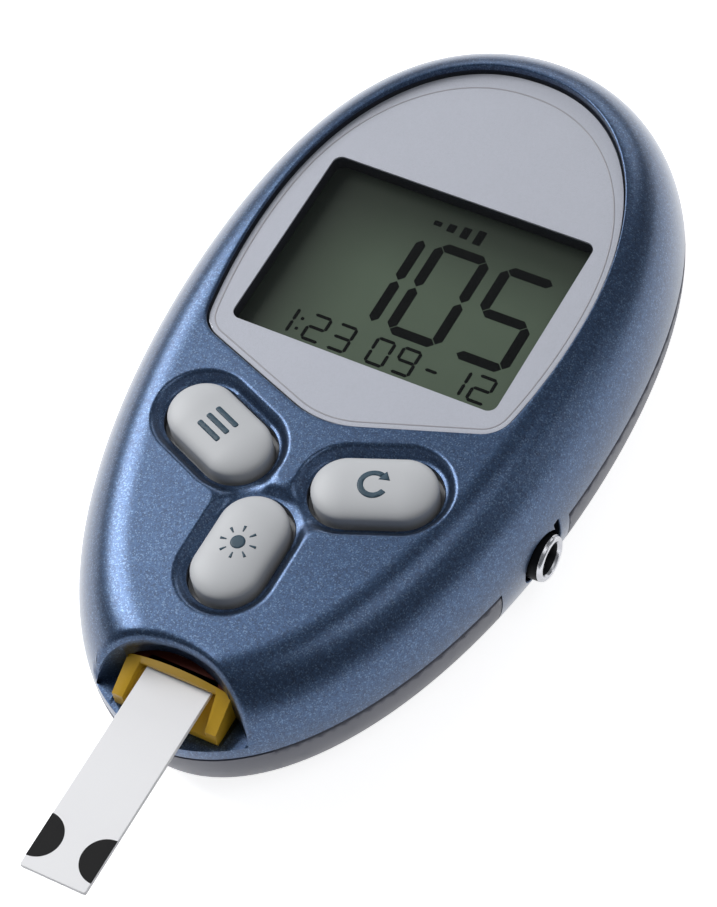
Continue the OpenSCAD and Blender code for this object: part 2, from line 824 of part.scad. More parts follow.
// The case's own wall behind the door's end wall
module door_back_wall() {
    side = door_w / 2 + door_gap + wall;
    intersection() {
        difference() {
            hollow(shelf_z, door_end_z + wall, 5, -nib);
            hollow(shelf_z - over, door_end_z + wall + over, 6, fit_gap + inner_wall);
        }
        block([-side, cell_y, shelf_z], [side, cut, cut]);
    }
}

// Lip that stands up from the lower half into the upper half
module case_lip() {
    difference() {
        egg_plate(wall / 2 + fit_gap, lower_top_z - root, lip_top_z - fit_gap);
        egg_plate(wall, lower_top_z - over, lip_top_z + over);
        skirt_block(fit_gap, 0, cut);
        block([-lip_end_x, -cut, 0], [lip_end_x, guide_back_y, cut]);
    }
}

module lower_case() {
    shelf_x = door_w / 2 + tongue_w + shelf_side;
    tongue_x = door_w / 2 + tongue_w + door_gap;
    color("#4b4d58")
        difference() {
            union() {
                difference() {
                    whole_case();
                    block([-cut, -cut, lower_top_z], [cut, cut, cut]);
                    hollow(base_wall, lower_top_z + over, 6);
                    skirt_block(fit_gap);
                }
                case_lip();
                for (p = screw_seats)
                    translate([p[0], p[1], root])
                        cylinder(r = lower_post_r, h = board_z - root);
                translate([0, cell_y, shelf_z])
                    cylinder(r = bay_r + bay_wall, h = bay_roof_z + bay_roof - shelf_z);
                intersection() {
                    egg_plate(wall + fit_gap, shelf_z, shelf_z + bay_roof);
                    block([-shelf_x, door_y - over, 0], [shelf_x, cut, cut]);
                }
                door_back_wall();
            }
            translate([0, cell_y, shelf_z - over])
                cylinder(r = bay_r, h = bay_roof_z - shelf_z + over);
            door_block(door_gap);
            block([-tongue_x, door_y - door_gap, door_top_z - tongue_t - 2 * door_gap],
                [tongue_x, cut, shelf_z]);
            door_end_room();
            for (p = screw_seats)
                translate([p[0], p[1], -over]) {
                    cylinder(r = screw_r + fit_gap, h = cut);
                    cylinder(r = screw_head_r + fit_gap, h = screw_seat_z + over);
                }
            positive_slot();
            negative_slot();
            label_plate(fit_gap, -over, label_t + skin);
        }
}

// ---- Lens and display ----

module display_lens() {
    color("#dfe6ee", 0.4)
        lens_plate(fit_gap, mask_z, mask_z + lens_t);
}

module lens_mask() {
    color("#b4b7c0")
        difference() {
            lens_plate(mask_in, mask_z - mask_t, mask_z);
            window_cut(0, mask_z - over, mask_z + over);
        }
}

module lens_adhesive() {
    color("#2b2d33")
        difference() {
            lens_plate(mask_in, glue_z, glue_z + glue_t);
            window_cut(2 * fit_gap, glue_z - over, glue_z + over);
        }
}

module glass_plate(y0, y1, z, t, inset = 0) {
    block([-glass_w / 2 + inset, y0 + inset, z], [glass_w / 2 - inset, y1 - inset, z + t]);
}

module front_polariser() {
    color("#57635a", 0.6)
        glass_plate(rear_glass_y, glass_top_y, polar_top_z - polar_t, polar_t, fit_gap);
}

module lcd_front_glass() {
    color("#6a7a6c", 0.6)
        glass_plate(glass_y, glass_top_y, glass_z, glass_t);
}

module lcd_rear_glass() {
    color("#6a7a6c", 0.6)
        glass_plate(rear_glass_y, glass_top_y, rear_glass_z, glass_t);
}

module rear_polariser() {
    color("#46504a")
        glass_plate(rear_glass_y, glass_top_y, rear_polar_z, polar_t, fit_gap);
}

module backlight_panel() {
    color("#cfd6cd")
        glass_plate(rear_glass_y + 2 * fit_gap, glass_top_y - lamp_room, light_z, light_t);
}

module backlight_lamp() {
    color("#f1efe2")
        block([-lamp_w / 2, glass_top_y - lamp_room + fit_gap, light_z],
            [lamp_w / 2, glass_top_y - fit_gap, light_z + lamp_h]);
}

module elastomer_place(gap, z0, z1) {
    x = glass_w / 2 - frame_ledge + gap;
    y = glass_y + ledge / 2;
    block([-x, y - elastomer_w / 2 - gap, z0], [x, y + elastomer_w / 2 + gap, z1]);
}

module display_frame() {
    half = glass_w / 2;
    light_half = half - frame_ledge;
    color("#26282c")
        difference() {
            block([-frame_w / 2, frame_y, board_top_z], [frame_w / 2, frame_top_y, polar_top_z]);
            block([-half - fit_gap, glass_y - fit_gap, glass_z],
                [half + fit_gap, glass_top_y + fit_gap, cut]);
            block([-half - fit_gap, rear_glass_y - fit_gap, light_z],
                [half + fit_gap, glass_top_y + fit_gap, cut]);
            block([-light_half, rear_glass_y + frame_ledge, board_top_z - over],
                [light_half, glass_top_y - frame_ledge, light_z - frame_floor]);
            elastomer_place(fit_gap, board_top_z - over, cut);
        }
}

module elastomer_connector() {
    color("#8d9096")
        elastomer_place(0, board_top_z, glass_z);
}

// ---- Buttons and keypad ----

module key_cap(side) {
    pill = pill_places[side == -1 ? 0 : side == 1 ? 1 : 2];
    round_z = key_edge_z + dome_round_h;
    key_bar(side, key_flange_z, key_flange_z + key_flange_t, key_flange + key_gap);
    hull() {
        key_bar(side, key_flange_z + nib, key_edge_z, 0, $fn = 32);
        key_bar(side, round_z, round_z + nib, -dome_round_w, $fn = 32);
        key_bar(side, key_top_z - nib, key_top_z, -dome_top_in, $fn = 32);
    }
    translate([pill[0], pill[1], pill_top_z])
        cylinder(r = pill_r + stem_over, h = stem_h + key_flange_t / 2);
}

module key_pill(place) {
    color("#202124")
        translate([place[0], place[1], pill_low_z])
            cylinder(r = pill_r, h = pill_top_z - pill_low_z);
}

// A thin rubber cone that carries a pill and springs back
module key_web(place) {
    color("#c9c9c4")
        translate([place[0], place[1], 0])
            rotate_extrude()
                polygon([
                    [web_r - web_t, mat_top_z],
                    [web_r, mat_top_z],
                    [pill_r + web_t + web_land, web_top_z],
                    [pill_r + skin, web_top_z],
                    [pill_r + skin, web_top_z - web_t],
                    [pill_r + web_land, web_top_z - web_t]
                ]);
}

module menu_button() {
    color("#cdcdcb")
        key_cap(-1);
}

module select_button() {
    color("#cdcdcb")
        key_cap(1);
}

module light_button() {
    color("#cdcdcb")
        key_cap(0);
}

module menu_pill() {
    key_pill(pill_places[0]);
}

module select_pill() {
    key_pill(pill_places[1]);
}

module light_pill() {
    key_pill(pill_places[2]);
}

module menu_web() {
    key_web(pill_places[0]);
}

module select_web() {
    key_web(pill_places[1]);
}

module light_web() {
    key_web(pill_places[2]);
}

module keypad_mat() {
    color("#bfc0ba")
        difference() {
            round_plate(
                2 * (side_x + mat_side),
                mat_foot_y,
                frame_y - fit_gap,
                board_top_z, mat_top_z, mat_corner_r
            );
            for (p = pill_places)
                translate([p[0], p[1], board_top_z - over])
                    cylinder(r = pill_r + pill_room, h = mat_t + 2 * over);
        }
}

module key_contact_pads() {
    color("#c8a24a")
        for (p = pill_places, side = [-0.5, 0.5])
            translate([p[0] + side * pad_step, p[1], board_top_z + pad_t / 2])
                cube([pad_w, pad_l, pad_t], center = true);
}

// ---- Strip port ----

// Side view of the guide: its side walls fall from the lip to the front
function guide_outline() = [
    [guide_end_y, guide_low_z],
    [guide_back_y, guide_low_z],
    [guide_back_y, guide_top_z],
    [lip_edge_y + lip_slope, guide_top_z],
    [lip_edge_y, slot_top_z + lip_edge_h],
    [guide_end_y, side_front_z]
];

// Side view of the room above the guide's sloping floor
function chute_outline() = [
    [guide_end_y - over, floor_front_z],
    [guide_end_y, floor_front_z],
    [lip_edge_y, slot_low_z],
    [lip_edge_y, guide_top_z],
    [guide_end_y - over, guide_top_z]
];

// A side view stretched across the case, w wide
module across(w) {
    translate([-w / 2, 0, 0])
        rotate([90, 0, 90])
            linear_extrude(w)
                children();
}

module strip_port_guide() {
    m = guide_mouth_w / 2;
    s = strip_w / 2 + strip_gap;
    color("#b8a036")
        difference() {
            across(guide_w)
                polygon(guide_outline());
            block([-s, guide_end_y - over, slot_low_z], [s, 0, slot_top_z]);
            intersection() {
                across(guide_mouth_w)
                    polygon(chute_outline());
                linear_extrude(cut)
                    polygon([
                        [-m, guide_end_y - over], [m, guide_end_y - over],
                        [m - mouth_turn, lip_edge_y], [-m + mouth_turn, lip_edge_y]
                    ]);
            }
            translate([0, 0, slot_low_z])
                linear_extrude(funnel_h)
                    polygon([
                        [-m + mouth_turn, lip_edge_y - nib], [m - mouth_turn, lip_edge_y - nib],
                        [s, guide_back_y - funnel_end], [-s, guide_back_y - funnel_end]
                    ]);
        }
}

module strip_connector() {
    s = strip_w / 2 + strip_gap;
    groove = contact_w / 2 + strip_gap;
    color("#2c2e33")
        difference() {
            block([-connector_w / 2, board_foot_y, board_top_z],
                [connector_w / 2, connector_y, connector_top_z]);
            block([-s, board_foot_y - over, slot_low_z], [s, strip_in_y + strip_gap, slot_top_z]);
            for (i = [-1:1])
                translate([i * contact_step, 0, 0])
                    block([-groove, board_foot_y + contact_in - 4 * strip_gap, board_top_z - over],
                        [groove, strip_in_y - contact_end + 4 * strip_gap, slot_low_z + nib]);
        }
}

module strip_contacts() {
    top = strip_z - strip_t / 2 - skin;
    end_y = strip_in_y - contact_end;
    color("#c8a24a")
        for (i = [-1:1])
            translate([i * contact_step, 0, 0]) {
                block([-contact_w / 2, board_foot_y + contact_in, top - contact_t],
                    [contact_w / 2, end_y, top]);
                block([-contact_w / 2, end_y - 2 * contact_t, board_top_z], [contact_w / 2, end_y, top]);
            }
}

module test_strip() {
    color("#ebebed")
        block([-strip_w / 2, strip_in_y - strip_l, strip_z - strip_t / 2],
            [strip_w / 2, strip_in_y, strip_z + strip_t / 2]);
}

// ---- Data jack ----

module along_jack(x) {
    translate([x, jack_y, jack_z])
        rotate([0, 90, 0])
            children();
}

module jack_ring() {
    color("#d5d6d8")
        along_jack(jack_ring_x)
            difference() {
                cylinder(r = jack_ring_r, h = jack_ring_l);
                translate([0, 0, -over])
                    cylinder(r = jack_bore_r, h = jack_ring_l + 2 * over);
            }
}

// A contact spring of the jack, grown by gap for the slot that it lies in
module jack_spring(i, gap) {
    x = jack_body_x + spring_in + i * spring_step;
    y = spring_w / 2 + gap;
    z = jack_z + jack_bore_r + spring_up - gap;
    translate([x, jack_y, z]) {
        block([-gap, -y, 0], [spring_l + gap, y, leaf_t + 2 * gap]);
        block([-gap, -y, 0], [leaf_t + gap, y, board_z - z + (gap > 0 ? over : 0)]);
    }
}

module jack_body() {
    color("#222326")
        difference() {
            block([jack_body_x, jack_y - jack_body_w / 2, jack_z - jack_body_h / 2],
                [jack_ring_x, jack_y + jack_body_w / 2, board_z]);
            along_jack(jack_body_x + over)
                cylinder(r = jack_bore_r, h = jack_body_l);
            for (i = [0:1])
                jack_spring(i, fit_gap);
        }
}

module jack_contacts() {
    color("#c8a24a")
        for (i = [0:1])
            jack_spring(i, 0);
}

// ---- Coin cell and its contacts ----

module at_cell(z) {
    translate([0, cell_y, z])
        children();
}

module coin_cell_can() {
    r = cell_d / 2;
    color("#c9ccd0")
        at_cell(cell_z)
            difference() {
                cylinder(r = r, h = cell_h - cell_skin);
                translate([0, 0, cell_skin])
                    cylinder(r = r - cell_skin, h = cell_h);
            }
}

module coin_cell_gasket() {
    r = cell_d / 2 - cell_skin;
    color("#3a3c40")
        at_cell(cell_z + cell_skin)
            difference() {
                cylinder(r = r, h = cell_h - 1.5 * cell_skin);
                translate([0, 0, -over])
                    cylinder(r = r - cell_seal, h = cell_h + 2 * over);
            }
}

module coin_cell_core() {
    color("#55585c")
        at_cell(cell_z + cell_skin)
            cylinder(r = cell_d / 2 - cell_skin - cell_seal, h = cell_h - 2 * cell_skin);
}

module coin_cell_cap() {
    color("#c2c5c9")
        at_cell(cell_top_z - cell_skin)
            cylinder(r = cell_d / 2 - cell_skin - cell_seal, h = cell_skin);
}

// The positive contact stands in a slot in the bay wall and presses on the can's side
module positive_leaf(gap) {
    x = leaf_w / 2 + gap;
    y = cell_y - cell_d / 2 - skin;
    block([-x, y - leaf_t - gap, cell_z + leaf_up - gap], [x, y + gap, board_z]);
}

module positive_slot() {
    difference() {
        positive_leaf(fit_gap);
        block([-cut, -cut, board_z - skin], [cut, cut, cut]);
    }
}

module positive_contact() {
    color("#c8a24a")
        positive_leaf(0);
}

// The negative contact comes down through the bay's ceiling and lies on the cap
module negative_leaf() {
    x = leaf_w / 2;
    low = cell_top_z + skin;
    back = cell_y + leaf_back;
    block([-x, cell_y - leaf_reach, low], [x, back, low + leaf_t]);
    block([-x, back - leaf_t, low], [x, back, board_z]);
}

module negative_slot() {
    x = leaf_w / 2 + fit_gap;
    back = cell_y + leaf_back;
    block([-x, back - leaf_hole_l, bay_roof_z - over], [x, back + fit_gap, board_z - skin]);
}

module negative_contact() {
    color("#c8a24a")
        negative_leaf();
}

// ---- Battery door ----

// Plate and end wall of the door, cut from the case's own form
module door_shell() {
    intersection() {
        difference() {
            whole_case();
            block([-cut, -cut, -over], [cut, cut, door_lift]);
            hollow(door_top_z, door_end_z + over, 4);
        }
        block([-door_w / 2, door_y, 0], [door_w / 2, cut, door_end_z]);
    }
}

module battery_door() {
    tongue_x = door_w / 2 + tongue_w;
    tongue_z = door_top_z - door_gap - tongue_t;
    color("#4b4d58")
        difference() {
            union() {
                door_shell();
                block([-tongue_x, door_y, tongue_z], [tongue_x, door_y + tongue_l, tongue_z + tongue_t]);
            }
            for (i = [0:groove_count - 1])
                translate([0, door_y + groove_start + groove_step * i, 0])
                    block([-groove_l / 2, 0, 0], [groove_l / 2, groove_w, door_lift + groove_depth]);
        }
}

// ---- Screws and label ----

module case_screws() {
    color("#8b8e92")
        for (p = screw_seats)
            translate([p[0], p[1], screw_seat_z]) {
                cylinder(r = screw_r, h = screw_l);
                difference() {
                    translate([0, 0, -screw_head_h])
                        cylinder(r = screw_head_r, h = screw_head_h);
                    for (turn = [0, 90])
                        rotate(turn)
                            translate([-cross_l / 2, -cross_w / 2, -screw_head_h - over])
                                cube([cross_l, cross_w, cross_depth + over]);
                }
            }
}

module label_plate(gap, z0, z1) {
    round_plate(
        label_w + 2 * gap,
        label_start_y - label_l - gap,
        label_start_y + gap,
        z0, z1, label_r
    );
}

module rating_label() {
    color("#d8d9dc")
        label_plate(0, skin, skin + label_t);
}

// ---- Parts on the board ----

module circuit_board() {
    color("#2f6b46")
        difference() {
            egg_plate(wall + board_gap, board_z, board_top_z);
            block([-cut, -cut, 0], [cut, board_foot_y, cut]);
            for (p = screw_seats)
                translate([p[0], p[1], board_z - over])
                    cylinder(r = screw_r + fit_gap, h = board_t + 2 * over);
        }
}

// A row of parts of size s soldered below the board, with its middle at p
module below_board(p, s, count = 1, step = 0) {
    for (i = [0:count - 1])
        translate([p[0] + step * (i - (count - 1) / 2) - s[0] / 2, p[1] - s[1] / 2, board_z - s[2]])
            cube(s);
}

module buzzer() {
    color("#1e1f22")
        translate([buzzer_in - half_width(buzzer_y), buzzer_y, board_z - buzzer_h])
            difference() {
                cylinder(d = buzzer_d, h = buzzer_h);
                translate([0, 0, -over])
                    cylinder(d = buzzer_hole_d, h = 2 * over);
            }
}

module processor_chip() {
    color("#1b1c1f")
        below_board(processor_at, processor_size);
}

module analogue_chip() {
    color("#1b1c1f")
        below_board(analogue_at, analogue_size);
}

module quartz_crystal() {
    color("#c9ccd0")
        below_board(crystal_at, crystal_size);
}

module capacitors() {
    color("#a58a63")
        below_board(capacitor_at, capacitor_size, 5, capacitor_step);
}

module resistors() {
    color("#2a2a2c")
        below_board(resistor_at, resistor_size, 6, resistor_step);
}

module thermistor() {
    color("#3b3b3e")
        below_board(thermistor_at, thermistor_size);
}

upper_case();
lower_case();
display_lens();
lens_mask();
lens_adhesive();
front_polariser();
lcd_front_glass();
lcd_rear_glass();
rear_polariser();
backlight_panel();
backlight_lamp();
display_frame();
elastomer_connector();
circuit_board();
key_contact_pads();
keypad_mat();
menu_button();
menu_pill();
menu_web();
select_button();
select_pill();
select_web();
light_button();
light_pill();
light_web();
strip_port_guide();
strip_connector();
strip_contacts();
test_strip();
jack_ring();
jack_body();
jack_contacts();
coin_cell_can();
coin_cell_core();
coin_cell_gasket();
coin_cell_cap();
positive_contact();
negative_contact();
battery_door();
case_screws();
rating_label();
buzzer();
processor_chip();
analogue_chip();
quartz_crystal();
capacitors();
resistors();
thermistor();
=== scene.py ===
"""Looks of a small egg-shaped blood glucose meter with a test strip in its port.

Lengths in the functions are millimetres, and a mesh turns them into metres when it is made.
"""
import math

import bmesh
import bpy
import numpy as np
from bpy.props import FloatProperty, FloatVectorProperty, IntProperty, PointerProperty
from mathutils import Matrix, Vector
from mathutils.geometry import delaunay_2d_cdt


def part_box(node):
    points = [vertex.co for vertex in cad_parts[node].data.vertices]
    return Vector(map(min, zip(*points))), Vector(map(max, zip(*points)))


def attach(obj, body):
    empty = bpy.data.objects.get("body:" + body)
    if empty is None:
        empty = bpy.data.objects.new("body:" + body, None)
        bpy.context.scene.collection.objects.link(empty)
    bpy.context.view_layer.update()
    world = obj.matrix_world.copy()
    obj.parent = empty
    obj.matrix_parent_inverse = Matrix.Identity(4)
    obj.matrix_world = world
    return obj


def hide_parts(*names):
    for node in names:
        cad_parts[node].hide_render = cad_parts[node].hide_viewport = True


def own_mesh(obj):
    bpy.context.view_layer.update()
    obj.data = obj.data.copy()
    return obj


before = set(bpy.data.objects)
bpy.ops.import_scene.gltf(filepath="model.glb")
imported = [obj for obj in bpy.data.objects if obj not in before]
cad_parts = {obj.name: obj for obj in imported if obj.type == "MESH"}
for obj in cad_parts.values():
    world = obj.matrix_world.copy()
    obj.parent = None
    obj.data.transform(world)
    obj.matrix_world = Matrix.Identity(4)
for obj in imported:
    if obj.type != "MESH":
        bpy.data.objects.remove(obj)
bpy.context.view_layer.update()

bl_info = {
    "name": "Glucose meter",
    "version": (1, 0, 0),
    "blender": (4, 5, 0),
    "location": "View3D > Sidebar > Meter",
    "description": "Builds the visible pieces of a blood glucose meter over its packed solids",
    "category": "Object",
}

MM = 0.001


# ---- Sizes and colours ----

def length(name, text, mm):
    return FloatProperty(name=name, description=text, default=mm * MM, unit="LENGTH", precision=5)


def linear(red, green, blue):
    """A colour as it shows on a screen, from 0 to 255, turned into light."""
    parts = [c / 255 for c in (red, green, blue)]
    return tuple(c / 12.92 if c <= 0.04045 else ((c + 0.055) / 1.055) ** 2.4 for c in parts)


def colour(name, text, red, green, blue):
    return FloatVectorProperty(
        name=name, description=text, subtype="COLOR", size=3, min=0, max=1,
        default=linear(red, green, blue),
    )


class MeterSizes(bpy.types.PropertyGroup):
    """Sizes of the visible pieces."""

    lens_rim: length("Lens pocket rim", "Radius of the edge round the lens pocket", 0.16)
    lens_bevel: length("Lens bevel", "Width of the polished edge of the lens", 0.14)
    mask_head: length("Border line", "How far the border line lies in from the mask's edge at the head", 1.15)
    key_rim: length("Button hole rim", "Radius of the edge round each button hole", 0.12)
    pool_start: length("Pool floor", "Width of the pool's floor, from the edge of a button", 0.55)
    pool_run: length("Pool wall", "Width of the pool's sloping wall", 0.95)
    pool_blend: length("Pool blend", "How softly the pools of the three buttons join", 1.9)
    scoop_rim: length("Scoop rim", "Radius of the soft edge round the scoop", 0.75)
    mark_lift: length("Print", "Thickness of a printed mark", 0.012)
    digit_stroke: length("Large stroke", "Width of a bar of the large digits", 0.92)
    small_stroke: length("Small stroke", "Width of a bar of the small digits", 0.3)
    screw_cross: length("Screw cross", "Width of the cross in a screw head", 0.4)
    around: IntProperty(name="Steps", description="Points round the case", default=330, min=120)


class MeterColours(bpy.types.PropertyGroup):
    """Colours of the visible pieces."""

    case: colour("Case", "Metallic blue of the upper half", 54, 82, 118)
    case_dark: colour("Case shade", "Dark flakes in the blue", 28, 48, 78)
    case_light: colour("Case flakes", "Bright flakes in the blue", 140, 170, 202)
    base: colour("Base", "Grey of the lower half", 104, 106, 118)
    mask: colour("Mask", "Silver grey behind the lens", 178, 181, 191)
    lcd: colour("Display", "Green grey of the display", 76, 89, 74)
    ink: colour("Display ink", "Dark bars of the display", 8, 10, 9)
    key: colour("Buttons", "Pale grey of the buttons", 186, 188, 191)
    mark: colour("Button print", "Slate blue of the marks on the buttons", 40, 68, 84)
    guide: colour("Strip guide", "Yellow of the strip guide", 192, 152, 36)
    strip: colour("Strip", "White of the test strip", 236, 236, 238)


def sizes():
    return bpy.context.scene.meter_sizes


def mm(name):
    return getattr(sizes(), name) / MM


def tint(name):
    return tuple(getattr(bpy.context.scene.meter_colours, name))


# ---- Case surface, as the solids have it ----

CASE_HALF, CASE_REACH = 20.48, 36.99    # half the width and half the length at the seam
OVAL = (420.0, 1369.0)                  # their squares, about, for the way out of the case
SEAM = 7.45
UPPER_LOW = 7.6                         # lower edge of the upper half
SHOULDER = 15.42                        # height of the top where its rounding ends
SHOULDER_IN = 5.3                       # how far in from the side that is
RISE = 0.02                             # how much the top climbs towards the head
CROWN = 0.1                             # how much the top swells in its middle
BASE_IN = 5.0                           # how far in the flat foot of the case lies
BASE_POWER = 2.05                       # roundness of the lower half
TURN = 2.2                              # how far in the side gives way to the top
SHELL = 0.12                            # thickness of the upper half's painted skin
ROOF = 13.3                             # underside of the top's openings
LEDGE = 14.55                           # shelf that the lens rests on
POOL = 14.4                             # floor round the buttons
LENS_LOW, LENS_TOP = 14.98, 15.46
SCOOP_HALF = 7.2                        # half the width of the strip mouth
SCOOP_CENTRE, SCOOP_R = -40.9, 10.0     # arc that ends it on the top
SCOOP_FLOOR = 8.7
KEYS = {                                # middle, turn in degrees and length of each button
    -1: (-7.38, -11.7, -22, 10.6), 1: (7.38, -11.7, 22, 10.6), 0: (0.0, -21.15, 90, 10.3),
}
STEMS = {-1: (-7.38, -11.7), 1: (7.38, -11.7), 0: (0, -17.4)}
KEY_W = 6.0
KEY_CLEAR = 0.4                         # gap round a button
JACK_Y, JACK_Z = -7.0, 6.2
SKIRT = (-12.5, -3.2, 2.8)              # foot side, head side and lower edge of the jack's skirt
WINDOW_Y = 8.47                         # middle of the display window
MASK_LOW, MASK_TOP = 14.775, 14.955
BORDER_Z = 14.961


def egg_gain(s):
    """How much wider or narrower than an ellipse the case is, from foot (-1) to head (1)."""
    return 1 + 0.100 * s + 0.110 * s * s + 0.061 * s ** 3


EGG_PEAK = max(math.cos(a) * egg_gain(math.sin(a)) for a in np.radians(np.arange(-90, 90.1, 0.25)))


def egg(a, inset=0.0):
    """Points of the case outline at angles a, moved inwards by inset."""
    def at(b):
        s = np.sin(b)
        return np.stack([CASE_HALF * np.cos(b) * egg_gain(s) / EGG_PEAK, CASE_REACH * s], -1)
    t = at(a + 0.008) - at(a - 0.008)
    t /= np.linalg.norm(t, axis=-1, keepdims=True)
    return at(a) + np.asarray(inset)[..., None] * np.stack([-t[..., 1], t[..., 0]], -1)


def lower_inset(z):
    """How far in from the seam the lower half is at height z."""
    f = np.clip(1 - np.asarray(z, float) / SEAM, 0, 1)
    return BASE_IN * (1 - (1 - f ** BASE_POWER) ** (1 / BASE_POWER))


def side_inset(y, z):
    """How far in from the seam the side of either half is at height z."""
    f = np.clip((z - SEAM) / (SHOULDER - SEAM + RISE * y), 0, 1)
    return np.where(z < SEAM, lower_inset(z), SHOULDER_IN * (1 - np.sqrt(1 - f * f)))


def upper_share(depth):
    """Share of the shoulder's height that is reached at a depth in from the seam."""
    return np.sqrt(1 - (1 - np.clip(depth / SHOULDER_IN, 0, 1)) ** 2)


def to_outline(points, loop):
    """Distance from each point to a closed line."""
    a = loop
    b = np.roll(loop, -1, 0)
    ab = b - a
    span = (ab ** 2).sum(1)
    out = np.empty(len(points))
    for i in range(0, len(points), 2000):
        p = points[i:i + 2000, None, :]
        t = np.clip(((p - a) * ab).sum(2) / span, 0, 1)
        out[i:i + 2000] = np.sqrt(((p - a - t[..., None] * ab) ** 2).sum(2)).min(1)
    return out


EGG_LOOP = egg(np.linspace(0, 2 * np.pi, 720, endpoint=False))


def crest(x, y, depth):
    """Height of the plain case top."""
    f = upper_share(depth)
    k = np.clip((x / 15.2) ** 2 + (y / 31.7) ** 2, 0, 1)
    return SEAM + (SHOULDER - SEAM) * f + RISE * f * y + CROWN * (1 - k) ** 2


def key_gap(points, side):
    """Distance from the edge of a button, less than nothing inside it."""
    x, y, turn, l = KEYS[side]
    c, s = math.cos(math.radians(turn)), math.sin(math.radians(turn))
    q = points - (x, y)
    u = np.abs(q[:, 0] * c + q[:, 1] * s) - (l - KEY_W) / 2
    v = -q[:, 0] * s + q[:, 1] * c
    return np.hypot(np.maximum(u, 0), v) - KEY_W / 2


def soft_least(a, b, k):
    h = np.clip(0.5 + 0.5 * (b - a) / k, 0, 1)
    return b * (1 - h) + a * h - k * h * (1 - h)


def pool_gap(points):
    k = mm("pool_blend")
    three = [key_gap(points, side) for side in (-1, 1, 0)]
    return soft_least(soft_least(three[0], three[1], k), three[2], k)


def scoop_gap(points):
    """Distance outside the scoop's plan."""
    round_ = np.hypot(points[:, 0], points[:, 1] - SCOOP_CENTRE) - SCOOP_R
    side = np.abs(points[:, 0]) - SCOOP_HALF
    return np.where((round_ > 0) & (side > 0), np.hypot(round_, side), np.maximum(round_, side))


def step_up(x):
    x = np.clip(x, 0, 1)
    return x * x * (3 - 2 * x)


def bank(x):
    """A sloping wall that rounds in at its foot and ends in a crisp rim."""
    x = np.clip(x, 0, 1)
    return x - 0.62 * np.sin(2 * np.pi * x) / (2 * np.pi)


def outwards(points):
    """The level way out of the case at some points."""
    out = points[:, :2] / OVAL
    return out / np.maximum(np.linalg.norm(out, axis=1, keepdims=True), 1e-9)


def round_drop(gap, r):
    """How far a rounded edge of radius r has dropped at a distance from its hole."""
    g = np.clip(gap, 0, r)
    return r - np.sqrt(np.maximum(r * r - (r - g) ** 2, 0))


# ---- Flat outlines ----

def arc(cx, cy, r, a0, a1, n):
    a = np.linspace(a0, a1, n)
    return np.stack([cx + r * np.cos(a), cy + r * np.sin(a)], -1)


def spread(loop, step):
    """The same closed line with points an even step apart."""
    shut = np.vstack([loop, loop[:1]])
    at = np.r_[0, np.cumsum(np.linalg.norm(np.diff(shut, axis=0), axis=1))]
    n = max(8, int(round(at[-1] / step)))
    where = np.linspace(0, at[-1], n, endpoint=False)
    return np.stack([np.interp(where, at, shut[:, i]) for i in range(2)], -1)


def grow(loop, d):
    """A smooth closed line, run the left way round, moved outwards by d."""
    t = np.roll(loop, -1, 0) - np.roll(loop, 1, 0)
    t /= np.linalg.norm(t, axis=1, keepdims=True)
    return loop + d * np.stack([t[:, 1], -t[:, 0]], -1)


def lens_outline(step=0.3):
    """Outline of the lens pocket: a full head, long sides and a blunt point."""
    half, mid, rise, corner = 15.55, 9.0, 23.1, -2.85
    power, bow = 2.18, 108      # fullness of the head, and how straight the sides run
    point, tip_r, bend_r = -7.4, 9, 3
    a = np.linspace(0, np.pi / 2, 90)
    head = np.stack([half * np.cos(a) ** (2 / power), mid + rise * np.sin(a) ** (2 / power)], -1)
    end = np.array([half - (mid - corner) ** 2 / bow, corner])
    tip = arc(0, point + tip_r, tip_r, -np.pi / 2, math.radians(-69), 8)
    up = np.array([half - mid ** 2 / bow, 0.0]) - end
    up /= np.linalg.norm(up)
    across = tip[-1] - end
    across /= np.linalg.norm(across)
    half_angle = math.acos(np.dot(up, across)) / 2
    centre = end + (up + across) / np.linalg.norm(up + across) * bend_r / math.sin(half_angle)
    start = end + across * bend_r / math.tan(half_angle) - centre
    stop = end + up * bend_r / math.tan(half_angle) - centre
    a0 = math.atan2(start[1], start[0])
    a1 = math.atan2(stop[1], stop[0])
    bend = arc(centre[0], centre[1], bend_r, a0, a1, 14)
    y = np.linspace(end[1] + up[1] * bend_r / math.tan(half_angle), mid, 30)[1:-1]
    side = np.stack([half - (mid - y) ** 2 / bow, y], -1)
    right = np.vstack([tip, bend, side, head])
    left = right[::-1] * (-1, 1)
    return spread(np.vstack([right, left[1:-1]]), step)


def capsule(side, extra, n=96):
    """Outline of a button, grown by extra."""
    x, y, turn, l = KEYS[side]
    r = KEY_W / 2 + extra
    half = (l - KEY_W) / 2
    p = np.vstack([
        arc(half, 0, r, -np.pi / 2, np.pi / 2, n // 2),
        arc(-half, 0, r, np.pi / 2, 1.5 * np.pi, n // 2),
    ])
    c, s = math.cos(math.radians(turn)), math.sin(math.radians(turn))
    return np.stack([x + p[:, 0] * c - p[:, 1] * s, y + p[:, 0] * s + p[:, 1] * c], -1)


def rounded(cx, cy, w, h, r, n=8):
    """Outline of a rounded rectangle."""
    x, y = w / 2 - r, h / 2 - r
    corners = [(x, -y, -0.5), (x, y, 0), (-x, y, 0.5), (-x, -y, 1)]
    return np.vstack([arc(cx + a, cy + b, r, k * np.pi, (k + 0.5) * np.pi, n) for a, b, k in corners])


def inside(points, loop):
    """True where a point lies within a closed line."""
    hit = np.zeros(len(points), bool)
    x, y = points[:, 0], points[:, 1]
    for (x0, y0), (x1, y1) in zip(loop, np.roll(loop, -1, 0)):
        crosses = (y0 > y) != (y1 > y)
        if crosses.any():
            hit[crosses] ^= x[crosses] < (x1 - x0) * (y[crosses] - y0) / (y1 - y0) + x0
    return hit


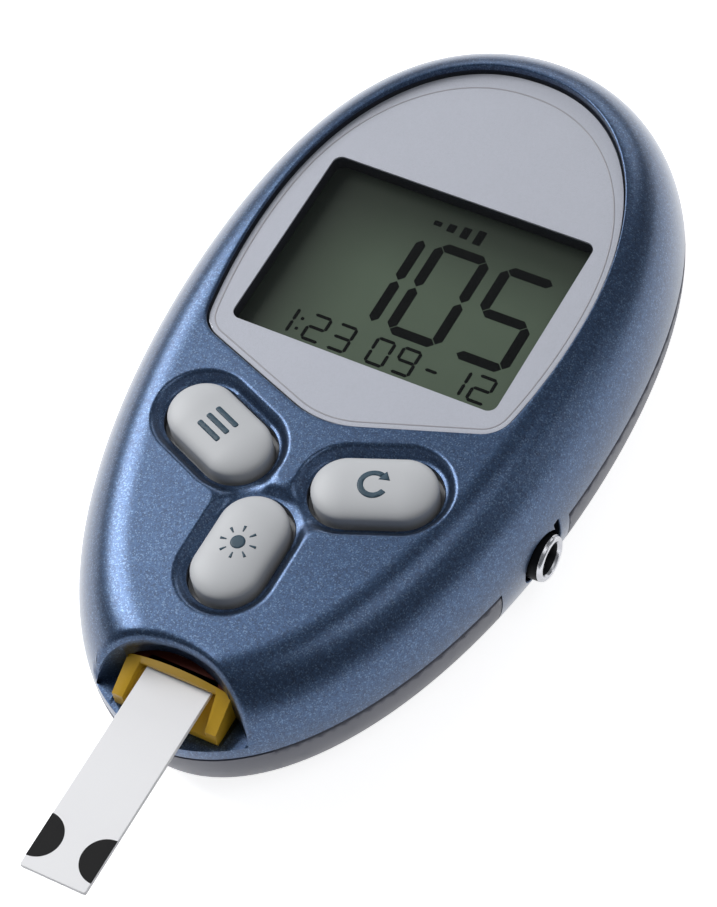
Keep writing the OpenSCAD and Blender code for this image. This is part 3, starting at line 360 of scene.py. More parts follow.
def triangles(points, loops):
    """Triangles over points, whose closed lines are kept as edges; loops are ranges of points."""
    edges = [(i, a + (i - a + 1) % (b - a)) for a, b in loops for i in range(a, b)]
    found = delaunay_2d_cdt([Vector(p) for p in points], edges, [], 0, 1e-9, True)
    first = [ids[0] if ids else -1 for ids in found[3]]
    faces = np.array([[first[i] for i in f] for f in found[2]])
    faces = faces[(faces >= 0).all(1)]
    a, b, c = (points[faces[:, i]] for i in range(3))
    turn = (b[:, 0] - a[:, 0]) * (c[:, 1] - a[:, 1]) - (b[:, 1] - a[:, 1]) * (c[:, 0] - a[:, 0])
    faces[turn < 0] = faces[turn < 0][:, ::-1]
    return faces[np.abs(turn) > 1e-9]


def dots(lo, hi, step, keep):
    """Points of an even triangular lattice where keep says so."""
    xs = np.arange(lo[0], hi[0], step)
    ys = np.arange(lo[1], hi[1], step * 0.866)
    x, y = np.meshgrid(xs, ys)
    x = x + (np.arange(len(ys)) % 2)[:, None] * step / 2
    p = np.stack([x.ravel(), y.ravel()], -1)
    return p[keep(p)]


# ---- Meshes ----

class Skin:
    """Points and faces of one piece, gathered in millimetres."""

    def __init__(self):
        self.points = []
        self.faces = []
        self.second = []

    def shaded(self, start):
        """The faces made since start take the piece's second finish, a dark one that paints the shade inside
        openings and bores.
        """
        self.second.extend(range(start, len(self.faces)))

    def add(self, points):
        start = len(self.points)
        self.points.extend(tuple(map(float, p)) for p in points)
        return np.arange(start, start + len(points))

    def ring(self, loop, z):
        return self.add([(x, y, z) for x, y in loop])

    def band(self, low, high, shut=True):
        """Faces between two rows of points."""
        n = len(low)
        for i in range(n if shut else n - 1):
            j = (i + 1) % n
            self.faces.append((low[i], low[j], high[j], high[i]))

    def cap(self, ids, up=True):
        self.faces.append(tuple(ids) if up else tuple(ids)[::-1])

    def fill(self, outer, holes, extra, lift):
        """Triangles between lines; a line is its flat points and, where they exist already, their ids."""
        lines = [outer] + list(holes)
        flat = [np.asarray(l[0]) for l in lines]
        ranges = []
        start = 0
        for l in flat:
            ranges.append((start, start + len(l)))
            start += len(l)
        points = np.vstack(flat + [np.asarray(extra).reshape(-1, 2)])
        faces = triangles(points, ranges)
        middle = points[faces].mean(1)
        good = inside(middle, flat[0])
        for l in flat[1:]:
            good &= ~inside(middle, l)
        faces = faces[good]
        ids = np.full(len(points), -1)
        for l, (a, b) in zip(lines, ranges):
            if l[1] is not None:
                ids[a:b] = l[1]
        new = np.flatnonzero(ids < 0)
        ids[new] = self.add(lift(points[new]))
        self.faces.extend(tuple(ids[f]) for f in faces)
        return [ids[a:b] for a, b in ranges]

    def object(self, name, finish, angle=38, second=None):
        mesh = bpy.data.meshes.new(name)
        points = [tuple(c * MM for c in p) for p in self.points]
        mesh.from_pydata(points, [], [tuple(map(int, f)) for f in self.faces])
        for i in self.second:
            mesh.polygons[i].material_index = 1
        return finish_mesh(mesh, name, finish, angle, second)


def finish_mesh(mesh, name, finish, angle=38, second=None):
    work = bmesh.new()
    work.from_mesh(mesh)
    bmesh.ops.remove_doubles(work, verts=work.verts, dist=1e-7)
    loose = [v for v in work.verts if not v.link_faces]
    bmesh.ops.delete(work, geom=loose, context="VERTS")
    work.to_mesh(mesh)
    work.free()
    mesh.polygons.foreach_set("use_smooth", [True] * len(mesh.polygons))
    mesh.set_sharp_from_angle(angle=math.radians(angle))
    index = [p.material_index for p in mesh.polygons]
    mesh.materials.clear()
    mesh.materials.append(finish)
    if second:
        mesh.materials.append(second)
        mesh.polygons.foreach_set("material_index", index)
    piece = bpy.data.objects.new(name, mesh)
    bpy.context.scene.collection.objects.link(piece)
    return piece


def apply_modifiers(piece):
    """The piece as a plain mesh, with its modifiers worked in."""
    bpy.context.view_layer.update()
    done = bpy.data.meshes.new_from_object(piece.evaluated_get(bpy.context.evaluated_depsgraph_get()))
    piece.modifiers.clear()
    old = piece.data
    piece.data = done
    bpy.data.meshes.remove(old)
    return piece


def wall(piece, thickness):
    """Gives an open skin its thickness, inwards."""
    m = piece.modifiers.new("wall", "SOLIDIFY")
    m.thickness = thickness * MM
    m.offset = -1
    m.use_rim = True
    return apply_modifiers(piece)


def settle(piece, body, slot, *nodes):
    """The piece moves with its body and stands for its solids; slot is not used."""
    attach(piece, body)
    if nodes:
        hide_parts(*nodes)
    return piece


# ---- Finishes ----

class Wire:
    """What a node gives out, so that sums on it are written as in Python."""

    def __init__(self, finish, socket):
        self.finish = finish
        self.socket = socket

    def maths(self, operation, a, b=0.0):
        return self.finish.node("ShaderNodeMath", {"operation": operation}, {0: a, 1: b})

    def __add__(self, other):
        return self.maths("ADD", self, other)

    def __radd__(self, other):
        return self.maths("ADD", other, self)

    def __sub__(self, other):
        return self.maths("SUBTRACT", self, other)

    def __rsub__(self, other):
        return self.maths("SUBTRACT", other, self)

    def __mul__(self, other):
        return self.maths("MULTIPLY", self, other)

    def __rmul__(self, other):
        return self.maths("MULTIPLY", other, self)

    def between(self, low, high):
        """0 below low, 1 above high and a soft run between them."""
        return self.finish.node(
            "ShaderNodeMapRange", {"interpolation_type": "SMOOTHSTEP"},
            {"Value": self, "From Min": low, "From Max": high},
        )


class Finish:
    """One material, built node by node."""

    def __init__(self, name, constants):
        self.material = bpy.data.materials.new(name)
        self.material.use_nodes = True
        self.tree = self.material.node_tree
        self.shader = self.tree.nodes["Principled BSDF"]
        for socket, value in constants.items():
            self.shader.inputs[socket].default_value = value

    def node(self, kind, settings=None, values=None, out=0):
        made = self.tree.nodes.new(kind)
        for key, value in (settings or {}).items():
            if key == "stops":
                ramp = made.color_ramp.elements
                for i, (at, stop) in enumerate(value):
                    element = ramp[i] if i < 2 else ramp.new(at)
                    element.position = at
                    element.color = (*stop, 1)
            else:
                setattr(made, key, value)
        for key, value in (values or {}).items():
            self.join(value, made.inputs[key])
        return Wire(self, made.outputs[out])

    def join(self, value, socket):
        if isinstance(value, Wire):
            self.tree.links.new(value.socket, socket)
        elif isinstance(value, tuple) and len(value) == 3 and len(socket.default_value) == 4:
            socket.default_value = (*value, 1)
        else:
            socket.default_value = value

    def place(self, stretch=(1, 1, 1)):
        spot = self.node("ShaderNodeTexCoord", out="Object")
        if stretch == (1, 1, 1):
            return spot
        return self.node("ShaderNodeMapping", {}, {"Vector": spot, "Scale": stretch})

    def noise(self, grain, detail=2.0, stretch=(1, 1, 1)):
        return self.node(
            "ShaderNodeTexNoise", {},
            {"Vector": self.place(stretch), "Scale": 1 / (grain * MM), "Detail": detail},
        )

    def cells(self, grain, out="Distance", stretch=(1, 1, 1)):
        return self.node(
            "ShaderNodeTexVoronoi", {}, {"Vector": self.place(stretch), "Scale": 1 / (grain * MM)}, out
        )

    def blend(self, a, b, amount):
        """One colour giving way to another."""
        return self.node("ShaderNodeMix", {"data_type": "RGBA"}, {0: amount, 6: a, 7: b}, 2)

    def bump(self, height, depth, strength=1.0):
        return self.node(
            "ShaderNodeBump", {}, {"Height": height, "Distance": depth * MM, "Strength": strength}
        )

    def feed(self, **links):
        for name, value in links.items():
            self.join(value, self.shader.inputs[name.replace("_", " ")])
        return self.material


def shade(rgb, k):
    """A colour made lighter or darker."""
    return tuple(min(1.0, c * k) for c in rgb)


def flake_paint():
    """Blue lacquer with fine bright flakes under a clear coat."""
    f = Finish("flake_paint", {"Metallic": 0.9, "Coat Weight": 0.75, "Coat Roughness": 0.3, "Coat IOR": 1.5})
    flakes = f.node("ShaderNodeSeparateColor", {}, {0: f.cells(0.1, "Color")})
    cloud = f.noise(0.4, 3.0)
    mottle = f.noise(0.13, 2.0)
    body = f.blend(tint("case_dark"), tint("case"), (cloud * 0.35 + mottle * 0.65).between(0.3, 0.68))
    lit = f.blend(body, tint("case_light"), flakes.between(0.75, 1.0) * 0.26)
    return f.feed(
        Base_Color=lit,
        Roughness=0.3 + 0.08 * mottle,
        Normal=f.bump(flakes * 0.5 + mottle * 0.5, 0.01, 0.3),
    )


def moulded(name, rgb, rough=0.45, grain=0.25, depth=0.006, vary=0.12, **extra):
    """Moulded plastic: fine even grain, a faint flow of shade and a few duller spots."""
    f = Finish(name, extra)
    flow = f.noise(9, 2.0)
    fine = f.noise(grain, 3.0)
    colour_ = f.blend(shade(rgb, 1 - vary), shade(rgb, 1 + vary * 0.6), flow * 0.6 + fine * 0.4)
    spots = f.noise(2.2, 4.0).between(0.5, 0.75)
    return f.feed(
        Base_Color=colour_,
        Roughness=rough + 0.1 * fine + 0.08 * spots - 0.05,
        Normal=f.bump(fine, depth, 0.8),
    )


def turned_metal(name, rgb, rough, stretch, grain=0.5):
    """Drawn or plated metal with fine lines along its working direction."""
    f = Finish(name, {"Metallic": 1.0})
    lines = f.noise(grain, 3.0, stretch)
    worn = f.noise(1.3, 3.0).between(0.52, 0.72)
    return f.feed(
        Base_Color=f.blend(shade(rgb, 0.86), rgb, lines),
        Roughness=rough + 0.12 * lines + 0.12 * worn,
        Normal=f.bump(lines, 0.002),
    )


def clear_pane():
    """A clear plastic pane, seen by what it reflects."""
    f = Finish("clear_pane", {"Metallic": 1.0, "Base Color": (0.86, 0.9, 0.95, 1)})
    outer = 1 - f.node("ShaderNodeNewGeometry", out="Backfacing")
    edge = f.node("ShaderNodeFresnel", {}, {"IOR": 1.32}) * outer
    haze = f.noise(1.6, 3.0)
    return f.feed(Alpha=edge + haze * 0.006, Roughness=0.05 + haze * 0.05)


def dull(level):
    """A surface that mirrors little."""
    return {"Specular IOR Level": level}


def display_back():
    """The display's polariser: green grey with a fine cell grid, a soft unevenness and painted shade towards
    the window's top and left edges.
    """
    f = Finish("display_back", dull(0.15))
    rgb = tint("lcd")
    flow = f.noise(7, 2.0)
    fine = f.noise(0.12, 2.0)
    spot = f.node("ShaderNodeSeparateXYZ", {}, {0: f.place()}).socket.node.outputs
    # Painted shade: the display turns dark towards the top and left edges of its window, where the window's
    # recess shades it.
    head = Wire(f, spot["Y"]).between(0.0195, 0.0075) * Wire(f, spot["X"]).between(-0.0145, -0.003)
    green = f.blend(shade(rgb, 0.94), shade(rgb, 1.08), flow * 0.7 + fine * 0.3)
    return f.feed(
        Base_Color=f.blend(shade(rgb, 0.22), green, head),
        Roughness=0.42 + 0.1 * fine,
        Normal=f.bump(fine, 0.002),
    )


def silver_mask():
    """Silver grey ink on the back of the lens."""
    f = Finish("silver_mask", {"Metallic": 0.15})
    rgb = tint("mask")
    specks = f.cells(0.12, "Color")
    grey = f.node("ShaderNodeSeparateColor", {}, {0: specks})
    return f.feed(
        Base_Color=f.blend(shade(rgb, 0.95), shade(rgb, 1.05), grey * 0.6 + f.noise(5, 2.0) * 0.4),
        Roughness=0.5 + 0.08 * grey,
        Normal=f.bump(grey, 0.002),
    )


def circuit_green():
    """Solder mask over copper tracks."""
    f = Finish("circuit_green", {"Coat Weight": 0.2})
    tracks = f.cells(1.4, "Distance", (1, 2.2, 1)).between(0.28, 0.34)
    weave = f.noise(0.3, 2.0)
    rgb = linear(28, 92, 58)
    return f.feed(
        Base_Color=f.blend(shade(rgb, 0.7), shade(rgb, 1.25), tracks * 0.7 + weave * 0.3),
        Roughness=0.32 + 0.12 * weave,
        Normal=f.bump(tracks, 0.02),
    )


def screw_steel():
    """Dark plated steel with turning marks and a little wear."""
    f = Finish("screw_steel", {"Metallic": 1.0})
    marks = f.noise(0.12, 2.0, (1, 1, 5))
    worn = f.noise(0.5, 3.0).between(0.45, 0.7)
    return f.feed(
        Base_Color=f.blend(linear(92, 94, 98), linear(150, 152, 156), worn * 0.6 + marks * 0.4),
        Roughness=0.26 + 0.16 * marks,
        Normal=f.bump(marks, 0.003),
    )


FINISHES = {}


def finish(name):
    """A finish by name, made once."""
    if name not in FINISHES:
        FINISHES[name] = MAKERS[name]()
    return FINISHES[name]


MAKERS = {
    "paint": flake_paint,
    "base": lambda: moulded("base_plastic", tint("base"), 0.42, 0.16, 0.008),
    # Painted shade: near-black blue for the walls inside the case's openings, where shade falls.
    "recess": lambda: moulded("recess_plastic", linear(24, 30, 44), 0.5, 0.2, 0.006),
    # Painted shade: near black for the jack ring's bore and outer side.
    "depth": lambda: moulded("dark_depth", linear(12, 13, 17), 0.5, 0.2, 0.004, **dull(0.2)),
    "pane": clear_pane,
    "mask": silver_mask,
    "lcd": display_back,
    "ink": lambda: moulded("display_ink", tint("ink"), 0.5, 0.1, 0.001, **dull(0.03)),
    "border": lambda: moulded("border_ink", linear(158, 157, 163), 0.4, 0.1, 0.001),
    # Painted shade: dark red-brown for the crevice behind the strip guide's lip.
    "guide_shade": lambda: moulded("guide_depth", linear(92, 34, 18), 0.5, 0.2, 0.004),
    "glue": lambda: moulded("black_tape", linear(20, 22, 28), 0.6, 0.1, 0.004),
    "key": lambda: moulded("key_plastic", tint("key"), 0.46, 0.12, 0.004, 0.04),
    "mark": lambda: moulded("key_print", tint("mark"), 0.5, 0.1, 0.002),
    "guide": lambda: moulded("guide_plastic", tint("guide"), 0.36, 0.3, 0.004, 0.14),
    "strip": lambda: moulded("strip_card", tint("strip"), 0.5, 0.2, 0.003, 0.03),
    "strip_print": lambda: moulded("strip_print", linear(12, 12, 14), 0.5, 0.1, 0.002, **dull(0.15)),
    "chrome": lambda: turned_metal("ring_chrome", linear(206, 207, 212), 0.2, (14, 1, 1)),
    "steel": lambda: turned_metal("cell_steel", linear(188, 190, 194), 0.24, (1, 1, 8)),
    "gold": lambda: turned_metal("contact_gold", linear(208, 170, 88), 0.2, (1, 6, 1), 0.3),
    "screw": screw_steel,
    "rubber": lambda: moulded("mat_rubber", linear(190, 190, 184), 0.62, 0.14, 0.006),
    "carbon": lambda: moulded("carbon", linear(26, 27, 30), 0.6, 0.08, 0.006),
    "black": lambda: moulded("black_plastic", linear(30, 31, 35), 0.4, 0.2, 0.006),
    "chip": lambda: moulded("chip_resin", linear(34, 35, 38), 0.55, 0.08, 0.008),
    "glass": lambda: moulded("display_glass", linear(104, 120, 108), 0.12, 2.0, 0.001),
    "panel": lambda: moulded("light_panel", linear(214, 220, 212), 0.35, 0.6, 0.004),
    "elastomer": lambda: moulded("elastomer", linear(140, 143, 150), 0.6, 0.1, 0.01),
    "core": lambda: moulded("cell_core", linear(58, 58, 60), 0.7, 0.15, 0.02),
    "seal": lambda: moulded("cell_seal", linear(56, 58, 62), 0.5, 0.1, 0.005),
    "label": lambda: moulded("label_film", linear(186, 188, 190), 0.34, 0.3, 0.002, 0.04, Metallic=0.3),
    "board": circuit_green,
    "ceramic": lambda: moulded("ceramic", linear(178, 150, 112), 0.45, 0.1, 0.006),
    "resistor": lambda: moulded("resistor", linear(46, 48, 54), 0.4, 0.1, 0.006),
}

NODE_FINISHES = {
    "lens_adhesive": "glue", "front_polariser": "lcd", "lcd_front_glass": "glass",
    "lcd_rear_glass": "glass", "rear_polariser": "glass", "backlight_panel": "panel",
    "backlight_lamp": "panel", "display_frame": "black", "elastomer_connector": "elastomer",
    "circuit_board": "board", "key_contact_pads": "gold", "keypad_mat": "rubber",
    "menu_pill": "carbon", "select_pill": "carbon", "light_pill": "carbon",
    "menu_web": "rubber", "select_web": "rubber", "light_web": "rubber",
    "strip_connector": "black", "strip_contacts": "gold", "jack_body": "black",
    "jack_contacts": "gold", "coin_cell_can": "steel", "coin_cell_core": "core",
    "coin_cell_gasket": "seal", "coin_cell_cap": "steel", "positive_contact": "gold",
    "negative_contact": "gold", "rating_label": "label", "buzzer": "black",
    "processor_chip": "chip", "analogue_chip": "chip", "quartz_crystal": "steel",
    "capacitors": "ceramic", "resistors": "resistor", "thermistor": "ceramic",
}


# ---- Upper case ----

def case_rows():
    """Heights of the case side's rows, as shares of the turn from side to top."""
    last = math.acos(1 - TURN / SHOULDER_IN)
    first = math.asin((UPPER_LOW - SEAM) / (SHOULDER - SEAM))
    chin = math.asin((SCOOP_FLOOR - SEAM) / (SHOULDER - SEAM + RISE * -36.4))
    return np.r_[np.linspace(first, chin, 5), np.linspace(chin, last, 23)[1:]]


def side_row(t, around, foot):
    """One level row of the case side: the foot's middle first, then the rest the left way round."""
    inset = SHOULDER_IN * (1 - math.cos(t))
    a = np.linspace(-np.pi / 2, 0, 4000)
    loop = egg(a, np.full(len(a), inset))
    right = np.interp(SCOOP_HALF, loop[:, 0], a)
    share = np.interp(np.linspace(0, SCOOP_HALF, foot // 2 + 1), loop[:, 0], a)
    half = share + np.pi / 2
    angles = np.r_[-np.pi / 2 - half[::-1], -np.pi / 2 + half[1:]]
    rest = np.linspace(right, 3 * np.pi / 2 - (right + np.pi / 2), around + 1)[1:-1]
    angles = np.r_[angles, rest]
    p = egg(angles, np.full(len(angles), inset))
    f = math.sin(t)
    z = SEAM + f * (SHOULDER - SEAM) + RISE * f * p[:, 1]
    return np.column_stack([p, z])


def side_point(yz):
    """A point of the case's right side, from its place along the case and its height."""
    y, z = yz[:, 0], yz[:, 1]
    inset = side_inset(y, z)
    reach = 37
    a = np.arcsin(y / reach)
    for _ in range(12):
        a = a - (egg(a, inset)[:, 1] - y) / (reach * np.cos(a))
    return np.column_stack([egg(a, inset)[:, 0], y, z])


def jack_hole(n=72):
    """Outline of the jack's clearance hole and the slit that rises on its head side."""
    r = 2.45
    ring = arc(JACK_Y, JACK_Z, r, math.acos(1.85 / r), 2 * np.pi, n)
    up = np.arange(0.2, 2.45, 0.2)
    slit = np.column_stack([np.full(len(up), JACK_Y + r + 0.05), JACK_Z + up])
    down = np.arange(2.35, 1.7, -0.2)
    back = np.column_stack([np.full(len(down), JACK_Y + 1.85), JACK_Z + down])
    return np.vstack([ring, slit, back])


def jack_side(skin, rows, ids, c0, c1, top_row, low_y, high_y):
    """The side round the jack, with the skirt below the seam; gives back its lower edge."""
    ring = rows[0]
    y0, y1, z0 = SKIRT
    base = [i for i in range(c0, c1 + 1) if ring[i, 1] < y0 - 0.1]
    far = [i for i in range(c0, c1 + 1) if ring[i, 1] > y1 + 0.1]
    corner = 0.5
    down = np.linspace(UPPER_LOW, z0 + corner, 16)
    turn0 = arc(y0 + corner, z0 + corner, corner, np.pi, 1.5 * np.pi, 6)
    along = np.linspace(y0 + corner, y1 - corner, 30)[1:-1]
    turn1 = arc(y1 - corner, z0 + corner, corner, -0.5 * np.pi, 0, 6)
    skirt = np.vstack([
        np.column_stack([np.full(15, y0), down[:-1]]), turn0,
        np.column_stack([along, np.full(len(along), z0)]), turn1,
        np.column_stack([np.full(15, y1), down[:-1][::-1]]),
    ])
    skirt_ids = skin.add(side_point(skirt))
    known = []
    flat = []
    for j in range(top_row, 0, -1):
        known.append(ids[j][c0])
        flat.append(rows[j][c0, 1:])
    for i in base:
        known.append(ids[0][i])
        flat.append(ring[i, 1:])
    known.extend(skirt_ids)
    flat.extend(skirt)
    for i in far:
        known.append(ids[0][i])
        flat.append(ring[i, 1:])
    for j in range(1, top_row):
        known.append(ids[j][c1])
        flat.append(rows[j][c1, 1:])
    for i in range(c1, c0, -1):
        known.append(ids[top_row][i])
        flat.append(rows[top_row][i, 1:])
    flat = np.array(flat)
    hole = jack_hole()
    around_hole = [grow(spread(hole, 0.2), d) for d in (0.05, 0.12, 0.25, 0.45)]

    def clear(p):
        near = to_outline(p, flat)
        return inside(p, flat) & ~inside(p, around_hole[-1]) & (near > 0.16)

    extra = dots((low_y - 0.5, z0), (high_y + 0.5, 13), 0.4, clear)
    extra = np.vstack([extra] + [g[inside(g, flat) & (to_outline(g, flat) > 0.1)] for g in around_hole])

    def lift(yz):
        p = side_point(yz)
        p[:, 0] -= round_drop(to_outline(yz, hole), 0.12)
        return p

    lines = skin.fill((flat, np.array(known)), [(hole, None)], extra, lift)
    inner = np.array([skin.points[i] for i in lines[1]])
    rim_in = skin.add(np.column_stack([inner[:, 0] - 0.12, inner[:, 1:]]))
    skin.band(lines[1], rim_in)
    deep = skin.add(np.column_stack([np.full(len(inner), 15.9), inner[:, 1:]]))
    # The hole's inner wall takes the dark second finish: painted shade.
    start_face = len(skin.faces)
    skin.band(rim_in, deep)
    skin.shaded(start_face)
    return [ids[0][i] for i in base] + list(skirt_ids) + [ids[0][i] for i in far]


def top_face(skin, rows, ids, foot):
    """The top within the side's last row; gives back its edge on the scoop, and its openings."""
    start = ids[-1]
    rim = rows[-1][:, :2]
    fx = rim[:foot + 1, 0]
    arch = np.column_stack([fx, SCOOP_CENTRE + np.sqrt(SCOOP_R ** 2 - fx ** 2)])
    side_in = [np.linspace(rim[k, 1], arch[k, 1], 7)[1:-1] for k in (foot, 0)]
    left_edge = np.column_stack([np.full(len(side_in[1]), -SCOOP_HALF), side_in[1]])
    right_edge = np.column_stack([np.full(len(side_in[0]), SCOOP_HALF), side_in[0]])
    scoop = np.vstack([left_edge, arch, right_edge[::-1]])
    outer = np.vstack([rim[foot:], rim[:1], scoop])
    lens = lens_outline(0.3)
    r_lens, r_key, r_scoop = mm("lens_rim"), mm("key_rim"), mm("scoop_rim")
    floor_end, run = mm("pool_start"), mm("pool_run")

    def surface(p):
        depth = to_outline(p, EGG_LOOP)
        z = crest(p[:, 0], p[:, 1], depth)
        pool = pool_gap(p)
        z = z - np.maximum(z - POOL, 0) * (1 - bank((pool - floor_end) / run))
        near_key = np.min([key_gap(p, k) for k in KEYS], axis=0) - KEY_CLEAR
        z = z - round_drop(near_key, r_key)
        z = z - round_drop(to_outline(p, lens), r_lens)
        return np.column_stack([p, z - round_drop(scoop_gap(p), r_scoop)])

    steps = [1 - math.cos(math.radians(a)) for a in (18, 36, 54, 72, 90)]
    lens_rings = [grow(lens, r_lens * s) for s in steps] + [grow(lens, 0.35), grow(lens, 0.6)]
    key_rings = [capsule(k, KEY_CLEAR + r_key * s, 120) for k in KEYS for s in steps]
    scoop_all = np.vstack([scoop_line(r_scoop * s) for s in steps + [1.35]])
    guard = grow(lens, 0.75)
    pool_edge = KEY_CLEAR + r_key

    def open_top(p):
        keep = inside(p, outer) & ~inside(p, guard)
        keep[keep] &= np.min([key_gap(p[keep], k) for k in KEYS], axis=0) > pool_edge + 0.1
        keep[keep] &= scoop_gap(p[keep]) > r_scoop * 1.35 + 0.15
        keep[keep] &= to_outline(p[keep], outer) > 0.3
        return keep

    def far_from_pool(p):
        keep = open_top(p)
        keep[keep] &= pool_gap(p[keep]) > floor_end + run + 0.25
        return keep

    def in_pool(p):
        near = pool_gap(p)
        keep = (near < floor_end + run + 0.2) & (near > floor_end - 0.12)
        keep[keep] &= open_top(p[keep])
        return keep

    def pool_floor(p):
        near = pool_gap(p)
        keep = near <= floor_end - 0.12
        keep[keep] &= open_top(p[keep])
        return keep

    extra = np.vstack([
        dots((-19, -37), (19, 37), 0.5, far_from_pool),
        dots((-16, -29), (16, -4), 0.105, in_pool),
        dots((-16, -29), (16, -4), 0.3, pool_floor),
    ] + lens_rings + key_rings)
    scoop_all = scoop_all[inside(scoop_all, outer) & (to_outline(scoop_all, outer) > 0.05)]
    extra = np.vstack([extra, scoop_all])
    count_rim = len(rim) - foot + 1
    known = np.full(len(outer), -1)
    known[:count_rim] = np.r_[start[foot:], start[:1]]
    new = np.flatnonzero(known < 0)
    known[new] = skin.add(surface(outer[new]))
    holes = [(lens, None)] + [(capsule(k, KEY_CLEAR, 120), None) for k in KEYS]
    lines = skin.fill((outer, known), holes, extra, surface)
    return np.r_[known[count_rim - 1:], known[:1]], lens, lines


def opening_walls(skin, lens, lines):
    """The walls of the lens pocket and of the three button holes. Below a thin blue rim these walls, the
    lens's shelf and the window's wall take the dark second finish: painted shade.
    """
    for line, low in zip(lines[1:], (LEDGE, ROOF, ROOF, ROOF)):
        top = np.array([skin.points[i] for i in line])
        shade_top = top - (0, 0, SHELL)
        if low == LEDGE:
            shade_top[:, 2] = np.minimum(shade_top[:, 2], LENS_TOP - 0.16)
        shade_top = skin.add(shade_top)
        skin.band(line, shade_top)
        # Below this row the walls take the dark second finish: painted shade.
        start_face = len(skin.faces)
        bottom = skin.add(np.column_stack([top[:, :2], np.full(len(top), low)]))
        skin.band(shade_top, bottom)
        if low == LEDGE:
            window = rounded(0, WINDOW_Y, 25.54, 19.14, 0.97)
            shelf = skin.fill((lens, bottom), [(window, None)], np.empty((0, 2)),
                              lambda p: np.column_stack([p, np.full(len(p), LEDGE)]))
            skin.band(shelf[1], skin.ring(window, ROOF))
        skin.shaded(start_face)


def scoop_walls(skin, ids, foot, chin, wall_top):
    """The walls and the floor of the scoop in front of the strip guide."""
    top = np.array([skin.points[i] for i in wall_top])
    arch_z = lip_height(top[:, 0]) + 0.16
    low = np.where(np.abs(top[:, 0]) < 5.05, np.maximum(arch_z, SCOOP_FLOOR), SCOOP_FLOOR)
    low = np.minimum(low, top[:, 2] - 0.05)
    foot_ids = skin.add(np.column_stack([top[:, :2], low]))
    skin.band(wall_top, foot_ids, shut=False)
    for side, column in ((0, 0), (-1, foot)):
        rise = [ids[j][column] for j in range(chin, len(ids))]
        fall = skin.add([skin.points[foot_ids[side]]])
        fan = [fall[0]] + (rise[::-1] if side else rise)
        skin.faces.append(tuple(fan))
    floor_edge = ids[chin][:foot + 1]
    floor_line = [skin.points[i][:2] for i in floor_edge]
    back = np.array([[x, SCOOP_CENTRE + math.sqrt(SCOOP_R ** 2 - x * x)] for x, _ in floor_line])
    back_ids = skin.ring(back, SCOOP_FLOOR)
    skin.band(floor_edge, back_ids, shut=False)


def case_top():
    """The blue upper half: its side, its top with pool, pocket and scoop, and the jack's skirt."""
    skin = Skin()
    around, foot = sizes().around, 48
    rows = [side_row(t, around, foot) for t in case_rows()]
    count = len(rows[0])
    ids = []
    for row in rows:
        moved = row.copy()
        gap = scoop_gap(row[:, :2])
        edge = (row[:, 2] > SCOOP_FLOOR) & (gap > -0.01)
        drop = round_drop(gap, 0.5) * step_up((row[:, 2] - SCOOP_FLOOR) / 1.8)
        moved[edge, :2] -= (outwards(row) * drop[:, None])[edge]
        ids.append(skin.add(moved))
    chin, top_row = 4, 12           # the rows at the scoop's floor and over the jack
    low_y, high_y = -14.2, -1.6     # the part of the side that is made round the jack
    ring = rows[0]
    on_right = (ring[:, 0] > 0) & (ring[:, 1] > low_y) & (ring[:, 1] < high_y)
    c0, c1 = np.flatnonzero(on_right)[[0, -1]]
    for j in range(len(rows) - 1):
        for i in range(count):
            k = (i + 1) % count
            if j >= chin and i < foot:
                continue
            if j < top_row and c0 <= i < c1:
                continue
            skin.faces.append((ids[j][i], ids[j][k], ids[j + 1][k], ids[j + 1][i]))
    beside_jack = jack_side(skin, rows, ids, c0, c1, top_row, low_y, high_y)
    # The lower edge turned in along the seam, and the skirt's own edge
    edge_ids = list(ids[0][:c0]) + beside_jack + list(ids[0][c1 + 1:])
    edge = np.array([skin.points[i] for i in edge_ids])
    inwards = edge.copy()
    inwards[:, :2] -= outwards(edge)
    skin.band(skin.add(inwards), edge_ids)
    wall_top, lens, lines = top_face(skin, rows, ids, foot)
    opening_walls(skin, lens, lines)
    scoop_walls(skin, ids, foot, chin, wall_top)
    # The dark second finish paints the shade inside the case's openings.
    piece = skin.object("case_top", finish("paint"), 40, finish("recess"))
    return wall(piece, SHELL)


def scoop_line(d):
    """The scoop's arched edge moved outwards by d."""
    reach = math.asin(SCOOP_HALF / SCOOP_R)
    bow = arc(0, SCOOP_CENTRE, SCOOP_R + d, np.pi / 2 - reach, np.pi / 2 + reach, 60)
    corner_y = SCOOP_CENTRE + math.sqrt(SCOOP_R ** 2 - SCOOP_HALF ** 2)
    right = arc(SCOOP_HALF, corner_y, d, 0, np.pi / 2 - reach, 5)[:-1]
    left = right * (-1, 1)
    sides = np.arange(corner_y - 0.3, corner_y - 4, -0.3)
    edges = [np.column_stack([np.full(len(sides), k * (SCOOP_HALF + d)), sides]) for k in (1, -1)]
    return np.vstack([bow, right, left] + edges)


LIP_LOW, LIP_RISE = 11.3, 1.6
LIP_STEP, LIP_BACK = -31.95, -31.7      # where the lip steps down to the guide's roof


def lip_height(x):
    """Height of the strip guide's arched lip."""
    return LIP_LOW + LIP_RISE * (1 - 0.72 * np.clip(np.abs(x) / 4.9, 0, 1) ** 2)


# ---- Pieces kept from the solids, smoothed ----

def node_copy(name):
    """A merged copy of a solid's mesh."""
    work = bmesh.new()
    work.from_mesh(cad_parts[name].data)
    bmesh.ops.remove_doubles(work, verts=work.verts, dist=1e-6)
    return work


